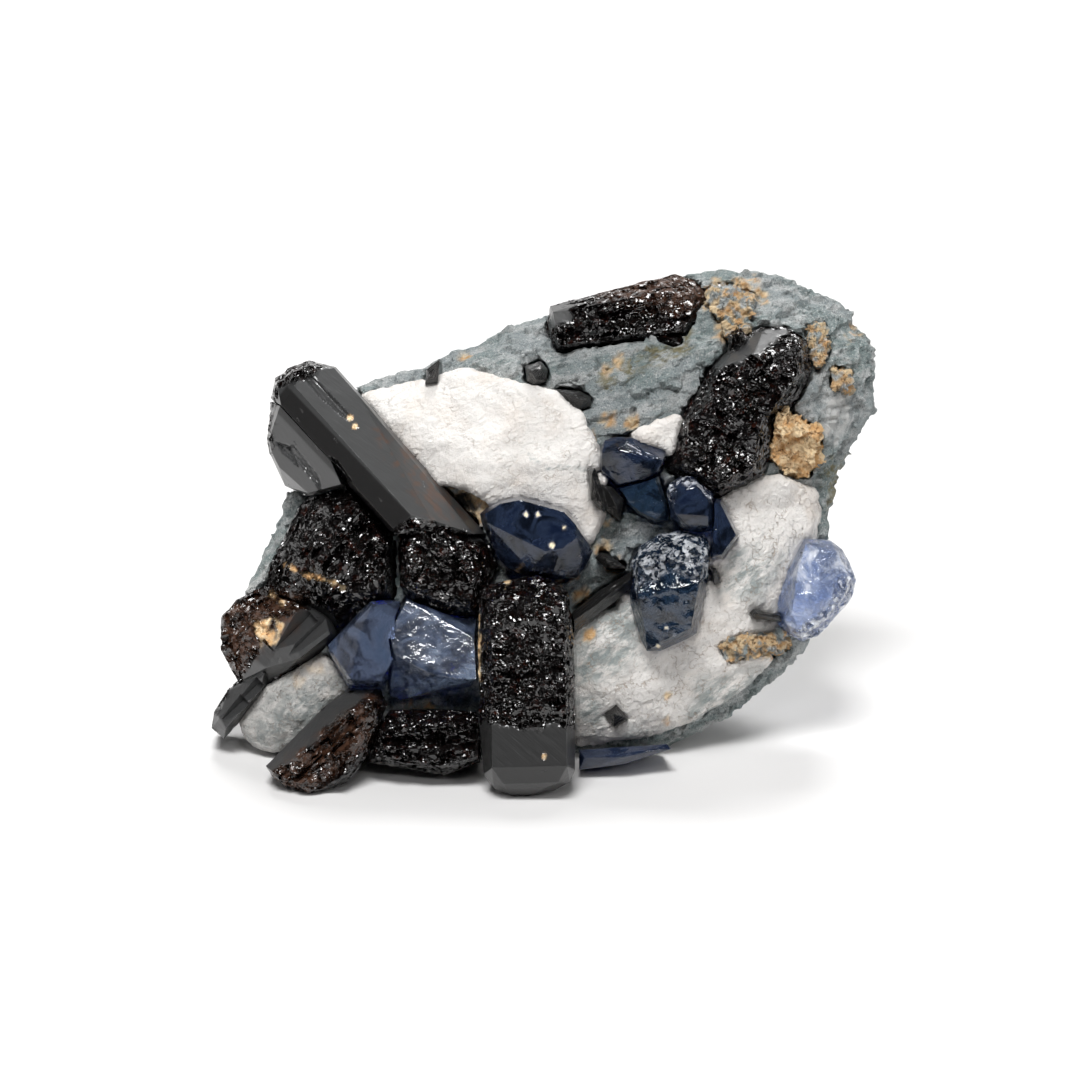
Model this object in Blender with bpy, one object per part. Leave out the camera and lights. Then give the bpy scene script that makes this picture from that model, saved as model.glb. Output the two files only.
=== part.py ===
# Benitoite with neptunite on natrolite and schist.
# The specimen is drawn as seen square on to its show face, in millimetres: across to the right,
# up along the face and out towards the eye. The face leans back, and place() carries each point
# into the world, where Z is up and the broken base of the rock lies on Z = 0.

import math

import bmesh
import bpy
from mathutils import Matrix, Vector, noise

# Driving dimensions, in millimetres and degrees
FACE_LEAN = 20.0  # how far the show face leans back from upright
FACE_LIFT = 19.5  # height of the face's centre above the base
EYE_DISTANCE = 600.0  # the outlines are those seen from this far in front of the face
GAP = 0.3  # clearance kept between pieces that touch
FLOOR_CLEARANCE = 0.25  # crystals that hang low stop this far above the surface
ROCK_FRONT = 9.0  # bulge of the rock in front of its rim
ROCK_BACK = 19.0  # bulge of the rock behind its rim
ROCK_ROUGHNESS = 0.9  # height of the rock's lumps
LUMP_RATE = 0.16  # lumps for each millimetre of the rock
FLAT_POWER = 2.6  # how flat the middle of the show face is
EDGE_POWER = 0.6  # how steeply the show face falls off to the rim
SHOULDER = (27.0, 17.0)  # middle of the raised shoulder at the upper right
SHOULDER_HEIGHT = 3.0
SHOULDER_SPREAD = 60.0  # square millimetres
BACK_TAPER = 0.18  # how much narrower the back is than the rim
BREAK_DEPTH = 0.95  # how nearly flat a break is
ROCK_RINGS = (40, 18)  # faces round the rock, and from front to back
SLIVER = 0.004  # edges shorter than this, left by a cut, are taken away
CRUST_DEPTH = 2.4  # how deep a crust is rooted under the rock's surface
CRUST_BED = 0.6  # room left under a crust, out of sight
SOCKET_SPACING = 3.6  # grid of a crust's socket in the rock
SOCKET_TOP = 14.0  # how far a socket reaches over the rock's surface
CRUST_MARGIN = 1.5  # how far a crust's layer reaches over its outline
CRUST_LUMP_RATE = 0.35  # lumps for each millimetre of a crust
COLUMN_END = 40.0  # the columns that trim the crusts end this far in front and behind
MILLIMETRE = 0.001  # the finished pieces are scaled from millimetres to metres

# The rock's rim, where it is widest, anticlockwise from the right
ROCK_CENTRE = (0.0, 2.0)
ROCK_RIM = [
    (34.9, 15.2), (34.3, 18.0), (32.6, 20.8), (31.0, 23.2), (28.6, 25.0), (24.5, 26.4),
    (17.5, 27.4), (12.0, 26.2), (7.2, 24.4), (0.5, 22.4), (-6.0, 19.7), (-12.0, 17.0),
    (-18.8, 15.2), (-23.0, 10.0), (-25.0, 6.0), (-25.6, 3.0), (-26.6, 0.4), (-28.6, -3.2),
    (-30.9, -6.0), (-31.2, -8.0), (-31.2, -14.0), (-30.6, -20.0), (-29.3, -21.7), (-26.6, -22.3),
    (-17.0, -22.3), (-6.0, -22.0), (3.7, -22.0), (13.2, -20.8), (16.5, -18.9), (20.5, -16.6),
    (24.3, -13.5), (27.1, -10.7), (28.2, -8.0), (29.0, 0.0), (28.8, 4.0), (30.4, 8.6),
    (31.8, 10.2), (33.4, 12.6),
]

lean = math.radians(FACE_LEAN)
UP = Vector((0.0, math.sin(lean), math.cos(lean)))
OUT = Vector((0.0, -math.cos(lean), math.sin(lean)))
FLOOR = (Vector((0.0, 0.0, 0.0)), Vector((0.0, 0.0, 1.0)))


def place(across, up, out):
    # A point of the outline at its height above the face, in millimetres of the world.
    near = (EYE_DISTANCE - out) / EYE_DISTANCE
    return Vector((across * near, 0.0, FACE_LIFT)) + UP * (up * near) + OUT * out


# Scene and materials

def clear_scene():
    for item in list(bpy.data.objects):
        bpy.data.objects.remove(item, do_unlink=True)


def make_material(name, color, roughness):
    material = bpy.data.materials.new(name)
    material.use_nodes = True
    surface = material.node_tree.nodes["Principled BSDF"]
    surface.inputs["Base Color"].default_value = (*color, 1.0)
    surface.inputs["Roughness"].default_value = roughness
    material.diffuse_color = (*color, 1.0)
    return material


def make_object(name, mesh_data, material, collection):
    mesh = bpy.data.meshes.new(name)
    mesh_data.to_mesh(mesh)
    mesh_data.free()
    item = bpy.data.objects.new(name, mesh)
    mesh.materials.append(material)
    collection.objects.link(item)
    return item


# Solid helpers

def convex_solid(points):
    solid = bmesh.new()
    corners = [solid.verts.new(point) for point in points]
    made = bmesh.ops.convex_hull(solid, input=corners, use_existing_faces=False)
    spare = [item for item in made["geom_interior"] if isinstance(item, bmesh.types.BMVert)]
    bmesh.ops.delete(solid, geom=spare, context="VERTS")
    bmesh.ops.dissolve_limit(solid, angle_limit=math.radians(2.0), verts=solid.verts, edges=solid.edges)
    bmesh.ops.recalc_face_normals(solid, faces=solid.faces)
    return solid


def keep_side(solid, point, outward):
    # Cuts a solid with a plane, keeps the side behind it and closes the cut.
    geometry = solid.verts[:] + solid.edges[:] + solid.faces[:]
    cut = bmesh.ops.bisect_plane(
        solid, geom=geometry, dist=1e-5, plane_co=point, plane_no=outward, clear_outer=True
    )
    rim = [item for item in cut["geom_cut"] if isinstance(item, bmesh.types.BMEdge)]
    if len(rim) > 2:
        bmesh.ops.holes_fill(solid, edges=rim, sides=0)
    bmesh.ops.recalc_face_normals(solid, faces=solid.faces)


def above_floor(solid, clearance):
    keep_side(solid, Vector((0.0, 0.0, clearance)), Vector((0.0, 0.0, -1.0)))
    return solid


def grown(solid, margin):
    # The same convex solid with every face moved outwards by the margin.
    centre = sum((vert.co for vert in solid.verts), Vector()) / len(solid.verts)
    reach = max((vert.co - centre).length for vert in solid.verts) + 4.0 * margin
    larger = bmesh.new()
    bmesh.ops.create_cube(larger, size=2.0 * reach, matrix=Matrix.Translation(centre))
    for face in solid.faces:
        keep_side(larger, face.calc_center_median() + face.normal * margin, face.normal)
    return larger


def tidied(mesh):
    # Joins what lies in one plane where that keeps the solid closed, and leaves triangles.
    for smallest, angle in ((SLIVER, 0.6), (SLIVER, 0.0), (0.0, 0.0)):
        solid = bmesh.new()
        solid.from_mesh(mesh)
        if smallest:
            bmesh.ops.dissolve_degenerate(solid, dist=smallest, edges=solid.edges)
        if angle:
            limit = math.radians(angle)
            bmesh.ops.dissolve_limit(solid, angle_limit=limit, verts=solid.verts, edges=solid.edges)
        bmesh.ops.triangulate(solid, faces=solid.faces)
        closed = all(edge.is_manifold for edge in solid.edges)
        if closed or not smallest:
            solid.to_mesh(mesh)
            solid.free()
            return mesh
        solid.free()
    return mesh


def boolean(target, tool, operation):
    # Applies one exact Boolean and takes the tool away.
    step = target.modifiers.new(operation.lower(), "BOOLEAN")
    step.operation = operation
    step.object = tool
    step.solver = "EXACT"
    graph = bpy.context.evaluated_depsgraph_get()
    result = bpy.data.meshes.new_from_object(target.evaluated_get(graph))
    target.modifiers.clear()
    target.data = tidied(result)
    bpy.data.objects.remove(tool, do_unlink=True)


def islands(solid):
    # The separate closed forms of a solid, each as a list of its vertices.
    solid.verts.index_update()
    reached = [False] * len(solid.verts)
    for start in solid.verts:
        if reached[start.index]:
            continue
        reached[start.index] = True
        island = [start]
        for vert in island:
            for edge in vert.link_edges:
                other = edge.other_vert(vert)
                if not reached[other.index]:
                    reached[other.index] = True
                    island.append(other)
        yield island


def keep_largest(item):
    # Chips that a cut leaves loose are taken away.
    solid = bmesh.new()
    solid.from_mesh(item.data)
    bmesh.ops.triangulate(solid, faces=solid.faces)
    found = sorted(list(islands(solid)), key=len, reverse=True)
    for island in found[1:]:
        bmesh.ops.delete(solid, geom=island, context="VERTS")
    solid.to_mesh(item.data)
    solid.free()


# The rock

def rim_radius(angle):
    # Distance from the centre to the rim in a direction of the face.
    bearings = []
    for across, up in ROCK_RIM:
        offset = Vector((across - ROCK_CENTRE[0], up - ROCK_CENTRE[1]))
        bearings.append((math.atan2(offset.y, offset.x) % math.tau, offset.length))
    bearings.sort()
    angle %= math.tau
    before = (bearings[-1][0] - math.tau, bearings[-1][1])
    for bearing in bearings + [(bearings[0][0] + math.tau, bearings[0][1])]:
        if angle <= bearing[0]:
            share = (angle - before[0]) / (bearing[0] - before[0])
            return before[1] + share * (bearing[1] - before[1])
        before = bearing
    return before[1]


def rock_front(across, up):
    # Height of the rock's show face above the plane of its rim.
    offset = Vector((across - ROCK_CENTRE[0], up - ROCK_CENTRE[1]))
    share = min(offset.length / rim_radius(math.atan2(offset.y, offset.x)), 1.0)
    dome = ROCK_FRONT * (1.0 - share ** FLAT_POWER) ** EDGE_POWER
    away = (across - SHOULDER[0]) ** 2 + (up - SHOULDER[1]) ** 2
    shoulder = SHOULDER_HEIGHT * math.exp(-away / SHOULDER_SPREAD) * (1.0 - share ** 6)
    lumps = noise.fractal(Vector((across, up, 3.0)) * LUMP_RATE, 1.0, 2.0, 3)
    return dome + shoulder + ROCK_ROUGHNESS * lumps * (1.0 - share ** 4)


# Broken faces on the back and sides: a point behind the face, and the way the break faces
ROCK_BREAKS = [
    ((-17.0, 4.0, -10.0), (-0.8, 0.3, -0.5)),
    ((6.0, 16.0, -10.0), (0.15, 0.8, -0.6)),
    ((23.0, 12.0, -8.0), (0.8, 0.3, -0.5)),
    ((16.0, -8.0, -8.0), (0.6, -0.6, -0.5)),
    ((0.0, 2.0, -14.5), (-0.12, 0.05, -1.0)),
    ((-19.0, -12.0, -7.0), (-0.6, -0.4, -0.7)),
    ((13.0, 2.0, -13.0), (0.5, 0.1, -0.85)),
    ((-8.0, 12.0, -11.0), (-0.35, 0.6, -0.75)),
]


def make_rock():
    rock = bmesh.new()
    bmesh.ops.create_uvsphere(rock, u_segments=ROCK_RINGS[0], v_segments=ROCK_RINGS[1], radius=1.0)
    for vert in rock.verts:
        spread = math.hypot(vert.co.x, vert.co.y)
        angle = math.atan2(vert.co.y, vert.co.x)
        share = spread ** 0.85
        radius = rim_radius(angle) * share
        across = ROCK_CENTRE[0] + radius * math.cos(angle)
        up = ROCK_CENTRE[1] + radius * math.sin(angle)
        if vert.co.z >= 0.0:
            spot = Vector((across, up, rock_front(across, up)))
        else:
            narrowing = 1.0 - BACK_TAPER * abs(vert.co.z) ** 1.5
            spot = Vector((across * narrowing, up * narrowing, -ROCK_BACK * abs(vert.co.z) ** 1.1))
            for point, outward in ROCK_BREAKS:
                facing = Vector(outward).normalized()
                beyond = (spot - Vector(point)).dot(facing)
                spot -= facing * max(beyond, 0.0) * BREAK_DEPTH
            lumps = noise.noise_vector(spot * LUMP_RATE)
            spot += lumps * ROCK_ROUGHNESS * min(1.0, abs(vert.co.z) * 3.0)
        vert.co = place(*spot)
    bmesh.ops.recalc_face_normals(rock, faces=rock.faces)
    return above_floor(rock, 0.0)


# Crusts that follow the rock's show face

def outline_column(outline, low, high, margin=0.0):
    # An upright column over an outline, its sides moved outwards by the margin.
    count = len(outline)
    turn = sum(
        outline[i][0] * outline[(i + 1) % count][1] - outline[(i + 1) % count][0] * outline[i][1]
        for i in range(count)
    )
    column = bmesh.new()
    ring = []
    for i in range(count):
        before, here, after = (Vector(outline[(i + step) % count]) for step in (-1, 0, 1))
        first = (here - before).normalized()
        second = (after - here).normalized()
        side = math.copysign(1.0, turn)
        normal = Vector((first.y + second.y, -first.x - second.x)) * side
        normal.normalize()
        stretch = margin / max(normal.dot(Vector((first.y, -first.x)) * side), 0.4)
        moved = here + normal * stretch
        ring.append(column.verts.new((moved.x, moved.y, low)))
    base = column.faces.new(ring)
    raised = bmesh.ops.extrude_face_region(column, geom=[base])
    for item in raised["geom"]:
        if isinstance(item, bmesh.types.BMVert):
            item.co.z = high
    for vert in column.verts:
        vert.co = place(*vert.co)
    bmesh.ops.recalc_face_normals(column, faces=column.faces)
    return column


def face_layer(outline, below, above, spacing, bumps):
    # A closed layer that follows the show face over the outline's bounds.
    low = [min(point[axis] for point in outline) - CRUST_MARGIN for axis in (0, 1)]
    high = [max(point[axis] for point in outline) + CRUST_MARGIN for axis in (0, 1)]
    steps = [max(2, round((high[axis] - low[axis]) / spacing)) for axis in (0, 1)]
    layer = bmesh.new()
    bmesh.ops.create_grid(layer, x_segments=steps[0], y_segments=steps[1], size=0.5)
    sheet = layer.faces[:]
    raised = bmesh.ops.extrude_face_region(layer, geom=sheet)
    tops = {item for item in raised["geom"] if isinstance(item, bmesh.types.BMVert)}
    for vert in layer.verts:
        across = low[0] + (vert.co.x + 0.5) * (high[0] - low[0])
        up = low[1] + (vert.co.y + 0.5) * (high[1] - low[1])
        height = rock_front(across, up)
        if vert in tops:
            lumps = noise.fractal(Vector((across, up, 9.0)) * CRUST_LUMP_RATE, 1.0, 2.0, 2)
            height += above + bumps * lumps
        else:
            height -= below
        vert.co = place(across, up, height)
    bmesh.ops.recalc_face_normals(layer, faces=layer.faces)
    return layer


CRUSTS = {
    "natrolite_upper": {
        "outline": [
            (-17.8, 14.2), (-12.0, 15.4), (-7.6, 16.7), (-2.0, 15.2), (1.5, 14.4), (3.8, 12.5),
            (5.2, 9.5), (6.4, 6.0), (6.0, 2.5), (3.0, -4.0), (-2.5, -5.5), (-4.2, 0.5),
            (-4.6, 3.8), (-7.4, 5.6), (-10.8, 6.0), (-14.5, 8.4), (-16.8, 11.2),
        ],
        "above": 1.1, "bumps": 0.6, "spacing": 2.1, "finish": "natrolite_white",
    },
    "natrolite_right": {
        "outline": [
            (17.5, 4.5), (21.0, 5.8), (24.0, 6.1), (27.2, 4.8), (27.6, 2.5), (26.6, -2.0),
            (25.0, -6.0), (24.8, -9.2), (22.6, -12.1), (19.3, -15.1), (15.5, -17.5), (11.5, -19.0),
            (3.9, -20.2), (3.4, -9.0), (8.0, -7.0), (10.0, -2.0), (14.5, 1.0),
        ],
        "above": 0.9, "bumps": 0.7, "spacing": 2.3, "finish": "natrolite_white",
    },
    "natrolite_left": {
        "outline": [
            (-29.6, -18.2), (-27.0, -15.0), (-24.5, -13.3), (-21.5, -11.7), (-19.3, -14.6),
            (-21.6, -16.6), (-24.2, -19.4), (-26.6, -21.2), (-28.6, -20.2),
        ],
        "above": 0.8, "bumps": 0.4, "spacing": 1.7, "finish": "natrolite_white",
    },
    "natrolite_wedge": {
        "outline": [(9.4, 10.4), (11.4, 11.2), (13.8, 12.2), (13.2, 9.6), (12.9, 8.6), (11.2, 8.8)],
        "above": 0.9, "bumps": 0.2, "spacing": 1.6, "finish": "natrolite_white",
    },
    "tan_crust_right": {
        "outline": [
            (22.9, 12.6), (24.4, 13.2), (26.0, 12.0), (27.9, 11.3), (28.0, 8.4), (26.8, 6.5),
            (24.6, 6.6), (22.9, 8.6),
        ],
        "above": 1.3, "bumps": 1.2, "spacing": 1.1, "finish": "tan_crust",
    },
    "tan_crust_top": {
        "outline": [
            (16.6, 25.0), (19.0, 25.4), (21.4, 24.4), (20.8, 22.0), (20.6, 19.4), (18.8, 19.6),
            (18.3, 22.0), (16.9, 23.2),
        ],
        "above": 0.9, "bumps": 0.9, "spacing": 1.2, "finish": "tan_crust",
    },
    "tan_crust_edge": {
        "outline": [(26.8, 21.4), (28.3, 21.8), (28.9, 18.6), (27.6, 17.0), (26.8, 19.0)],
        "above": 0.8, "bumps": 0.8, "spacing": 1.2, "finish": "tan_crust",
    },
    "tan_crust_side": {
        "outline": [(29.0, 17.2), (31.2, 16.7), (30.9, 15.0), (29.3, 15.2)],
        "above": 0.8, "bumps": 0.6, "spacing": 1.0, "finish": "tan_crust",
    },
    "tan_crust_lower": {
        "outline": [
            (17.6, -10.6), (19.4, -9.6), (22.0, -9.3), (23.8, -9.2), (24.9, -10.2), (24.2, -11.3),
            (21.6, -11.4), (18.8, -12.3),
        ],
        "above": 1.5, "bumps": 1.0, "spacing": 1.2, "finish": "tan_crust",
    },
}


def make_crust(name, style, finishes, collection):
    outline = style["outline"]
    layer = face_layer(outline, CRUST_DEPTH, style["above"], style["spacing"], style["bumps"])
    item = make_object(name, layer, finishes[style["finish"]], collection)
    column = above_floor(outline_column(outline, -COLUMN_END, COLUMN_END), FLOOR_CLEARANCE)
    boolean(item, make_object("column", column, finishes[style["finish"]], collection), "INTERSECT")
    return item


def crust_socket(style, finishes, collection):
    # The room that a crust takes up in what lies under it, with the clearance all round.
    outline = style["outline"]
    layer = face_layer(outline, CRUST_DEPTH + CRUST_BED, SOCKET_TOP, SOCKET_SPACING, 0.0)
    item = make_object("socket", layer, finishes[style["finish"]], collection)
    column = outline_column(outline, -COLUMN_END, COLUMN_END, GAP)
    boolean(item, make_object("column", column, finishes[style["finish"]], collection), "INTERSECT")
    return item


# Crystals: each part of a crystal is convex, with a rim outline at one height or with a height
# for each point, crown points that give its edges and faces, and a root behind it in the rock

CRYSTALS = {
    "neptunite_front_block": {
        "finish": "neptunite_black",
        "parts": [
            {
                "rim": [
                    (-6.0, -4.6), (-3.3, -4.8), (-2.0, -4.0), (-0.5, -3.5), (0.8, -3.8),
                    (2.8, -5.2), (3.3, -9.0), (3.5, -16.0), (3.5, -23.0), (3.0, -24.2),
                    (1.5, -25.0), (-1.0, -25.5), (-3.0, -25.5), (-4.6, -24.8), (-5.6, -23.4),
                    (-6.0, -19.0), (-6.2, -10.0),
                ],
                "rim_out": 12.6,
                "crown": [
                    (-4.9, -6.0, 15.2), (2.4, -6.0, 15.4), (2.7, -22.6, 15.8), (-4.8, -22.8, 15.6),
                    (1.8, -24.2, 14.6), (-3.6, -24.4, 14.4),
                ],
                "root": 3.0,
            },
        ],
        "grooves": None,
    },
    "neptunite_lower_left": {
        "finish": "neptunite_black",
        "parts": [
            {
                "rim": [
                    (-27.4, -22.6), (-24.0, -19.2), (-21.5, -16.6), (-19.0, -15.0), (-16.0, -14.9),
                    (-15.2, -16.4), (-16.5, -18.6), (-17.6, -22.2), (-19.0, -24.0), (-20.5, -24.8),
                    (-23.2, -25.7), (-25.0, -25.0), (-26.8, -23.6),
                ],
                "rim_out": 10.4,
                "crown": [
                    (-26.6, -23.3, 12.6), (-23.4, -20.9, 13.6), (-17.2, -16.4, 13.8),
                    (-16.6, -18.0, 12.8), (-19.4, -23.2, 12.6), (-22.8, -25.0, 12.6),
                ],
                "root": 4.0,
            },
        ],
        "grooves": {"along": (0.74, 0.67), "count": 6, "seed": 8, "depth": 0.7},
    },
    "neptunite_low_bar": {
        "finish": "neptunite_black",
        "parts": [
            {
                "rim": [
                    (-16.2, -18.4), (-15.0, -17.0), (-10.0, -16.9), (-6.4, -17.2), (-6.0, -22.2),
                    (-7.5, -22.4), (-9.5, -23.5), (-11.0, -23.2), (-12.0, -22.6), (-17.4, -22.2),
                ],
                "rim_out": 9.0,
                "crown": [
                    (-16.0, -19.0, 11.6), (-10.0, -18.2, 12.6), (-6.2, -18.4, 12.2),
                    (-6.2, -21.6, 12.0), (-10.0, -22.6, 11.6), (-15.8, -21.6, 11.6),
                ],
                "root": 3.0,
            },
        ],
        "grooves": {"along": (1.0, 0.04), "count": 6, "seed": 5, "depth": 0.7},
    },
    "neptunite_long_prism": {
        "finish": "neptunite_black",
        "parts": [
            {
                "rim": [
                    (-26.5, 16.2, 4.5), (-25.0, 17.2, 4.5), (-23.1, 17.9, 4.5), (-20.4, 17.3, 4.5),
                    (-18.1, 14.5, 5.0), (-17.3, 11.8, 6.0), (-16.0, 9.5, 7.0), (-14.0, 8.5, 7.4),
                    (-11.0, 6.3, 8.0), (-9.0, 3.4, 8.4), (-7.0, 2.0, 8.6), (-5.4, 0.6, 8.6),
                    (-14.6, 0.4, 8.6), (-25.0, 12.0, 4.5), (-26.9, 14.2, 4.5),
                ],
                "crown": [
                    (-24.5, 15.3, 9.8), (-12.9, 2.5, 14.4), (-25.9, 13.5, 9.2), (-14.3, 0.7, 13.8),
                    (-17.2, 11.4, 9.8), (-10.8, 2.0, 14.0), (-18.1, 14.4, 8.1), (-20.6, 17.2, 7.0),
                    (-23.0, 17.5, 7.6), (-24.6, 16.8, 8.8), (-26.3, 15.6, 8.0), (-6.6, 0.6, 11.6),
                ],
                "root": -2.0,
            },
            {
                "rim": [
                    (-26.9, 13.8), (-27.3, 10.2), (-27.0, 8.6), (-26.2, 7.0), (-25.5, 5.4),
                    (-23.2, 4.4), (-22.0, 4.8), (-19.7, 5.3), (-19.6, 7.0), (-22.4, 10.8),
                ],
                "rim_out": 3.4,
                "crown": [
                    (-26.0, 13.4, 8.7), (-20.9, 7.9, 10.8), (-19.9, 5.6, 10.8), (-22.0, 5.0, 8.9),
                    (-23.2, 4.7, 7.9), (-26.1, 7.3, 6.5), (-26.8, 8.7, 6.4), (-27.1, 10.0, 6.6),
                ],
                "root": -3.0,
            },
            {
                "rim": [
                    (-14.2, 0.7), (-12.8, 2.3), (-10.0, 1.6), (-6.0, 0.2), (-4.8, -0.9),
                    (-4.3, -2.6), (-6.1, -5.0), (-6.3, -7.5), (-9.0, -7.6), (-12.6, -6.2),
                    (-14.0, -4.6),
                ],
                "rim_out": 9.6,
                "crown": [
                    (-13.4, 0.0, 13.0), (-9.6, 0.8, 12.8), (-6.0, -1.0, 12.4), (-6.6, -4.4, 13.4),
                    (-7.0, -6.8, 13.0), (-12.4, -5.2, 12.6),
                ],
                "root": 2.0,
            },
        ],
        "grooves": None,
    },
    "neptunite_left_mass": {
        "finish": "neptunite_black",
        "parts": [
            {
                "rim": [
                    (-23.9, 3.6), (-22.0, 5.0), (-19.2, 5.6), (-17.0, 3.6), (-15.4, 1.6),
                    (-14.2, -0.2), (-14.2, -6.0), (-17.3, -6.3), (-18.2, -8.0), (-20.0, -9.2),
                    (-22.4, -8.4), (-27.6, -5.0), (-27.0, -2.6), (-25.2, 1.0),
                ],
                "rim_out": 5.0,
                "crown": [
                    (-21.6, 3.4, 8.6), (-18.6, 3.8, 9.6), (-15.4, -0.4, 11.6), (-15.6, -5.0, 11.4),
                    (-21.0, -5.6, 10.0), (-24.6, -3.2, 7.6),
                ],
                "root": -3.0,
            },
            {
                "rim": [
                    (-27.6, -4.6), (-24.4, -5.2), (-21.8, -6.6), (-20.4, -8.0), (-20.0, -9.4),
                    (-21.8, -11.8), (-24.4, -12.6), (-27.4, -14.8), (-30.2, -14.2), (-31.9, -11.0),
                    (-31.9, -7.8), (-30.4, -6.0),
                ],
                "rim_out": 3.2,
                "crown": [
                    (-24.0, -7.4, 9.6), (-21.6, -8.0, 9.8), (-21.0, -9.4, 9.8),
                    (-24.0, -11.8, 9.0), (-28.6, -7.6, 6.0), (-30.2, -10.6, 4.8),
                    (-27.4, -12.8, 6.8),
                ],
                "root": -4.0,
            },
            {
                "rim": [
                    (-28.6, -12.4), (-26.2, -13.2), (-27.4, -15.2), (-30.2, -18.4), (-31.6, -19.9),
                    (-32.8, -18.8), (-32.6, -17.2), (-31.4, -15.2),
                ],
                "rim_out": 2.4,
                "crown": [
                    (-27.6, -13.4, 6.6), (-28.0, -15.0, 6.0), (-31.4, -18.8, 4.4),
                    (-32.0, -17.8, 4.2),
                ],
                "root": -3.0,
            },
        ],
        "grooves": {"along": (0.72, 0.70), "count": 8, "seed": 12, "depth": 0.8},
    },
    "neptunite_top_bar": {
        "finish": "neptunite_black",
        "parts": [
            {
                "rim": [
                    (1.0, 23.4), (3.2, 23.8), (6.5, 24.8), (10.5, 25.7), (13.5, 26.6),
                    (15.5, 26.0), (17.2, 24.2), (16.0, 22.4), (14.5, 19.9), (11.5, 19.5),
                    (7.0, 19.7), (3.0, 18.5), (1.5, 18.7), (0.6, 21.0),
                ],
                "rim_out": 2.2,
                "crown": [
                    (1.3, 22.8, 6.4), (3.2, 23.0, 6.8), (12.0, 24.8, 6.2), (15.6, 24.4, 5.6),
                    (14.4, 20.8, 6.4), (7.0, 20.4, 7.2), (1.9, 19.4, 6.8),
                ],
                "root": -1.2,
            },
            {
                "rim": [(11.6, 20.6), (14.2, 20.6), (14.3, 19.3), (13.4, 19.0), (11.6, 19.5)],
                "rim_out": 5.6,
                "crown": [(12.2, 20.0, 7.2), (13.8, 19.8, 7.0)],
                "root": 1.0,
            },
        ],
        "grooves": {"along": (1.0, 0.16), "count": 6, "seed": 21, "depth": 0.6},
    },
    "neptunite_upper_right": {
        "finish": "neptunite_black",
        "parts": [
            {
                "rim": [
                    (17.5, 17.8), (20.0, 19.2), (21.0, 20.8), (22.5, 21.4), (24.5, 21.4),
                    (26.8, 20.0), (27.2, 17.0), (26.0, 14.2), (24.0, 12.2), (16.0, 12.0),
                    (15.0, 14.0),
                ],
                "rim_out": 7.0,
                "crown": [
                    (18.0, 17.2, 11.6), (21.4, 18.6, 12.0), (25.4, 19.0, 11.2), (25.8, 16.6, 11.4),
                    (23.0, 12.8, 12.0), (16.6, 13.0, 11.8),
                ],
                "root": 2.0,
            },
            {
                "rim": [
                    (24.4, 13.0), (23.2, 10.0), (22.4, 6.6), (20.6, 5.4), (18.0, 4.2), (16.2, 4.3),
                    (12.5, 7.2), (13.2, 10.0), (14.2, 12.4), (16.0, 15.4), (20.0, 14.8),
                ],
                "rim_out": 7.4,
                "crown": [
                    (22.2, 12.2, 12.0), (21.2, 7.4, 11.6), (17.8, 5.6, 11.6), (14.0, 7.6, 11.6),
                    (15.2, 12.0, 12.2), (18.0, 14.8, 12.4),
                ],
                "root": 2.0,
            },
            {
                "rim": [(18.9, 20.3), (20.0, 21.3), (21.0, 20.1), (20.2, 18.2), (18.7, 18.5)],
                "rim_out": 8.4,
                "crown": [(19.9, 20.0, 10.2)],
                "root": 6.2,
            },
        ],
        "grooves": {"along": (0.56, 0.83), "count": 7, "seed": 34, "depth": 0.8},
    },
    "neptunite_blade_top_left": {
        "finish": "neptunite_black",
        "parts": [
            {
                "rim": [(-11.5, 15.6), (-11.3, 17.1), (-10.0, 18.1), (-10.2, 15.8)],
                "rim_out": 5.8,
                "crown": [(-11.0, 16.5, 6.8)],
                "root": 0.4,
            },
        ],
        "grooves": None,
    },
    "neptunite_cube_top": {
        "finish": "neptunite_black",
        "parts": [
            {
                "rim": [
                    (-1.5, 17.4), (0.1, 17.9), (0.8, 17.0), (0.6, 15.9), (-0.5, 15.4),
                    (-1.3, 15.9),
                ],
                "rim_out": 7.8,
                "crown": [(-1.0, 17.0, 9.2), (0.2, 17.2, 9.2), (-0.3, 16.0, 9.0)],
                "root": 2.0,
            },
        ],
        "grooves": None,
    },
    "neptunite_sliver_top": {
        "finish": "neptunite_black",
        "parts": [
            {
                "rim": [(1.2, 15.1), (4.0, 14.9), (5.1, 14.3), (5.1, 13.4), (3.8, 12.9), (2.8, 13.7)],
                "rim_out": 8.0,
                "crown": [(3.0, 14.5, 9.2), (4.4, 13.9, 9.0)],
                "root": 4.0,
            },
        ],
        "grooves": None,
    },
    "neptunite_twin_blades": {
        "finish": "neptunite_black",
        "parts": [
            {
                "rim": [(4.7, 7.2), (5.5, 7.2), (6.9, 3.4), (6.4, 2.8), (5.1, 4.0)],
                "rim_out": 11.4,
                "crown": [(5.2, 6.6, 12.8), (6.2, 3.8, 12.6)],
                "root": 4.0,
            },
            {
                "rim": [(6.2, 5.5), (7.2, 5.3), (8.4, 4.1), (8.0, 1.9), (6.2, 3.2)],
                "rim_out": 11.0,
                "crown": [(6.9, 4.8, 12.4), (7.6, 3.4, 12.4)],
                "root": 4.0,
            },
        ],
        "grooves": None,
    },
    "neptunite_shard_center": {
        "finish": "neptunite_black",
        "parts": [
            {
                "rim": [(5.5, -1.8), (6.1, -1.2), (7.0, -1.5), (8.8, -2.9), (6.6, -2.8)],
                "rim_out": 10.6,
                "crown": [(6.6, -1.9, 11.6)],
                "root": 5.0,
            },
        ],
        "grooves": None,
    },
    "neptunite_long_rod": {
        "finish": "neptunite_black",
        "parts": [
            {
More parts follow.
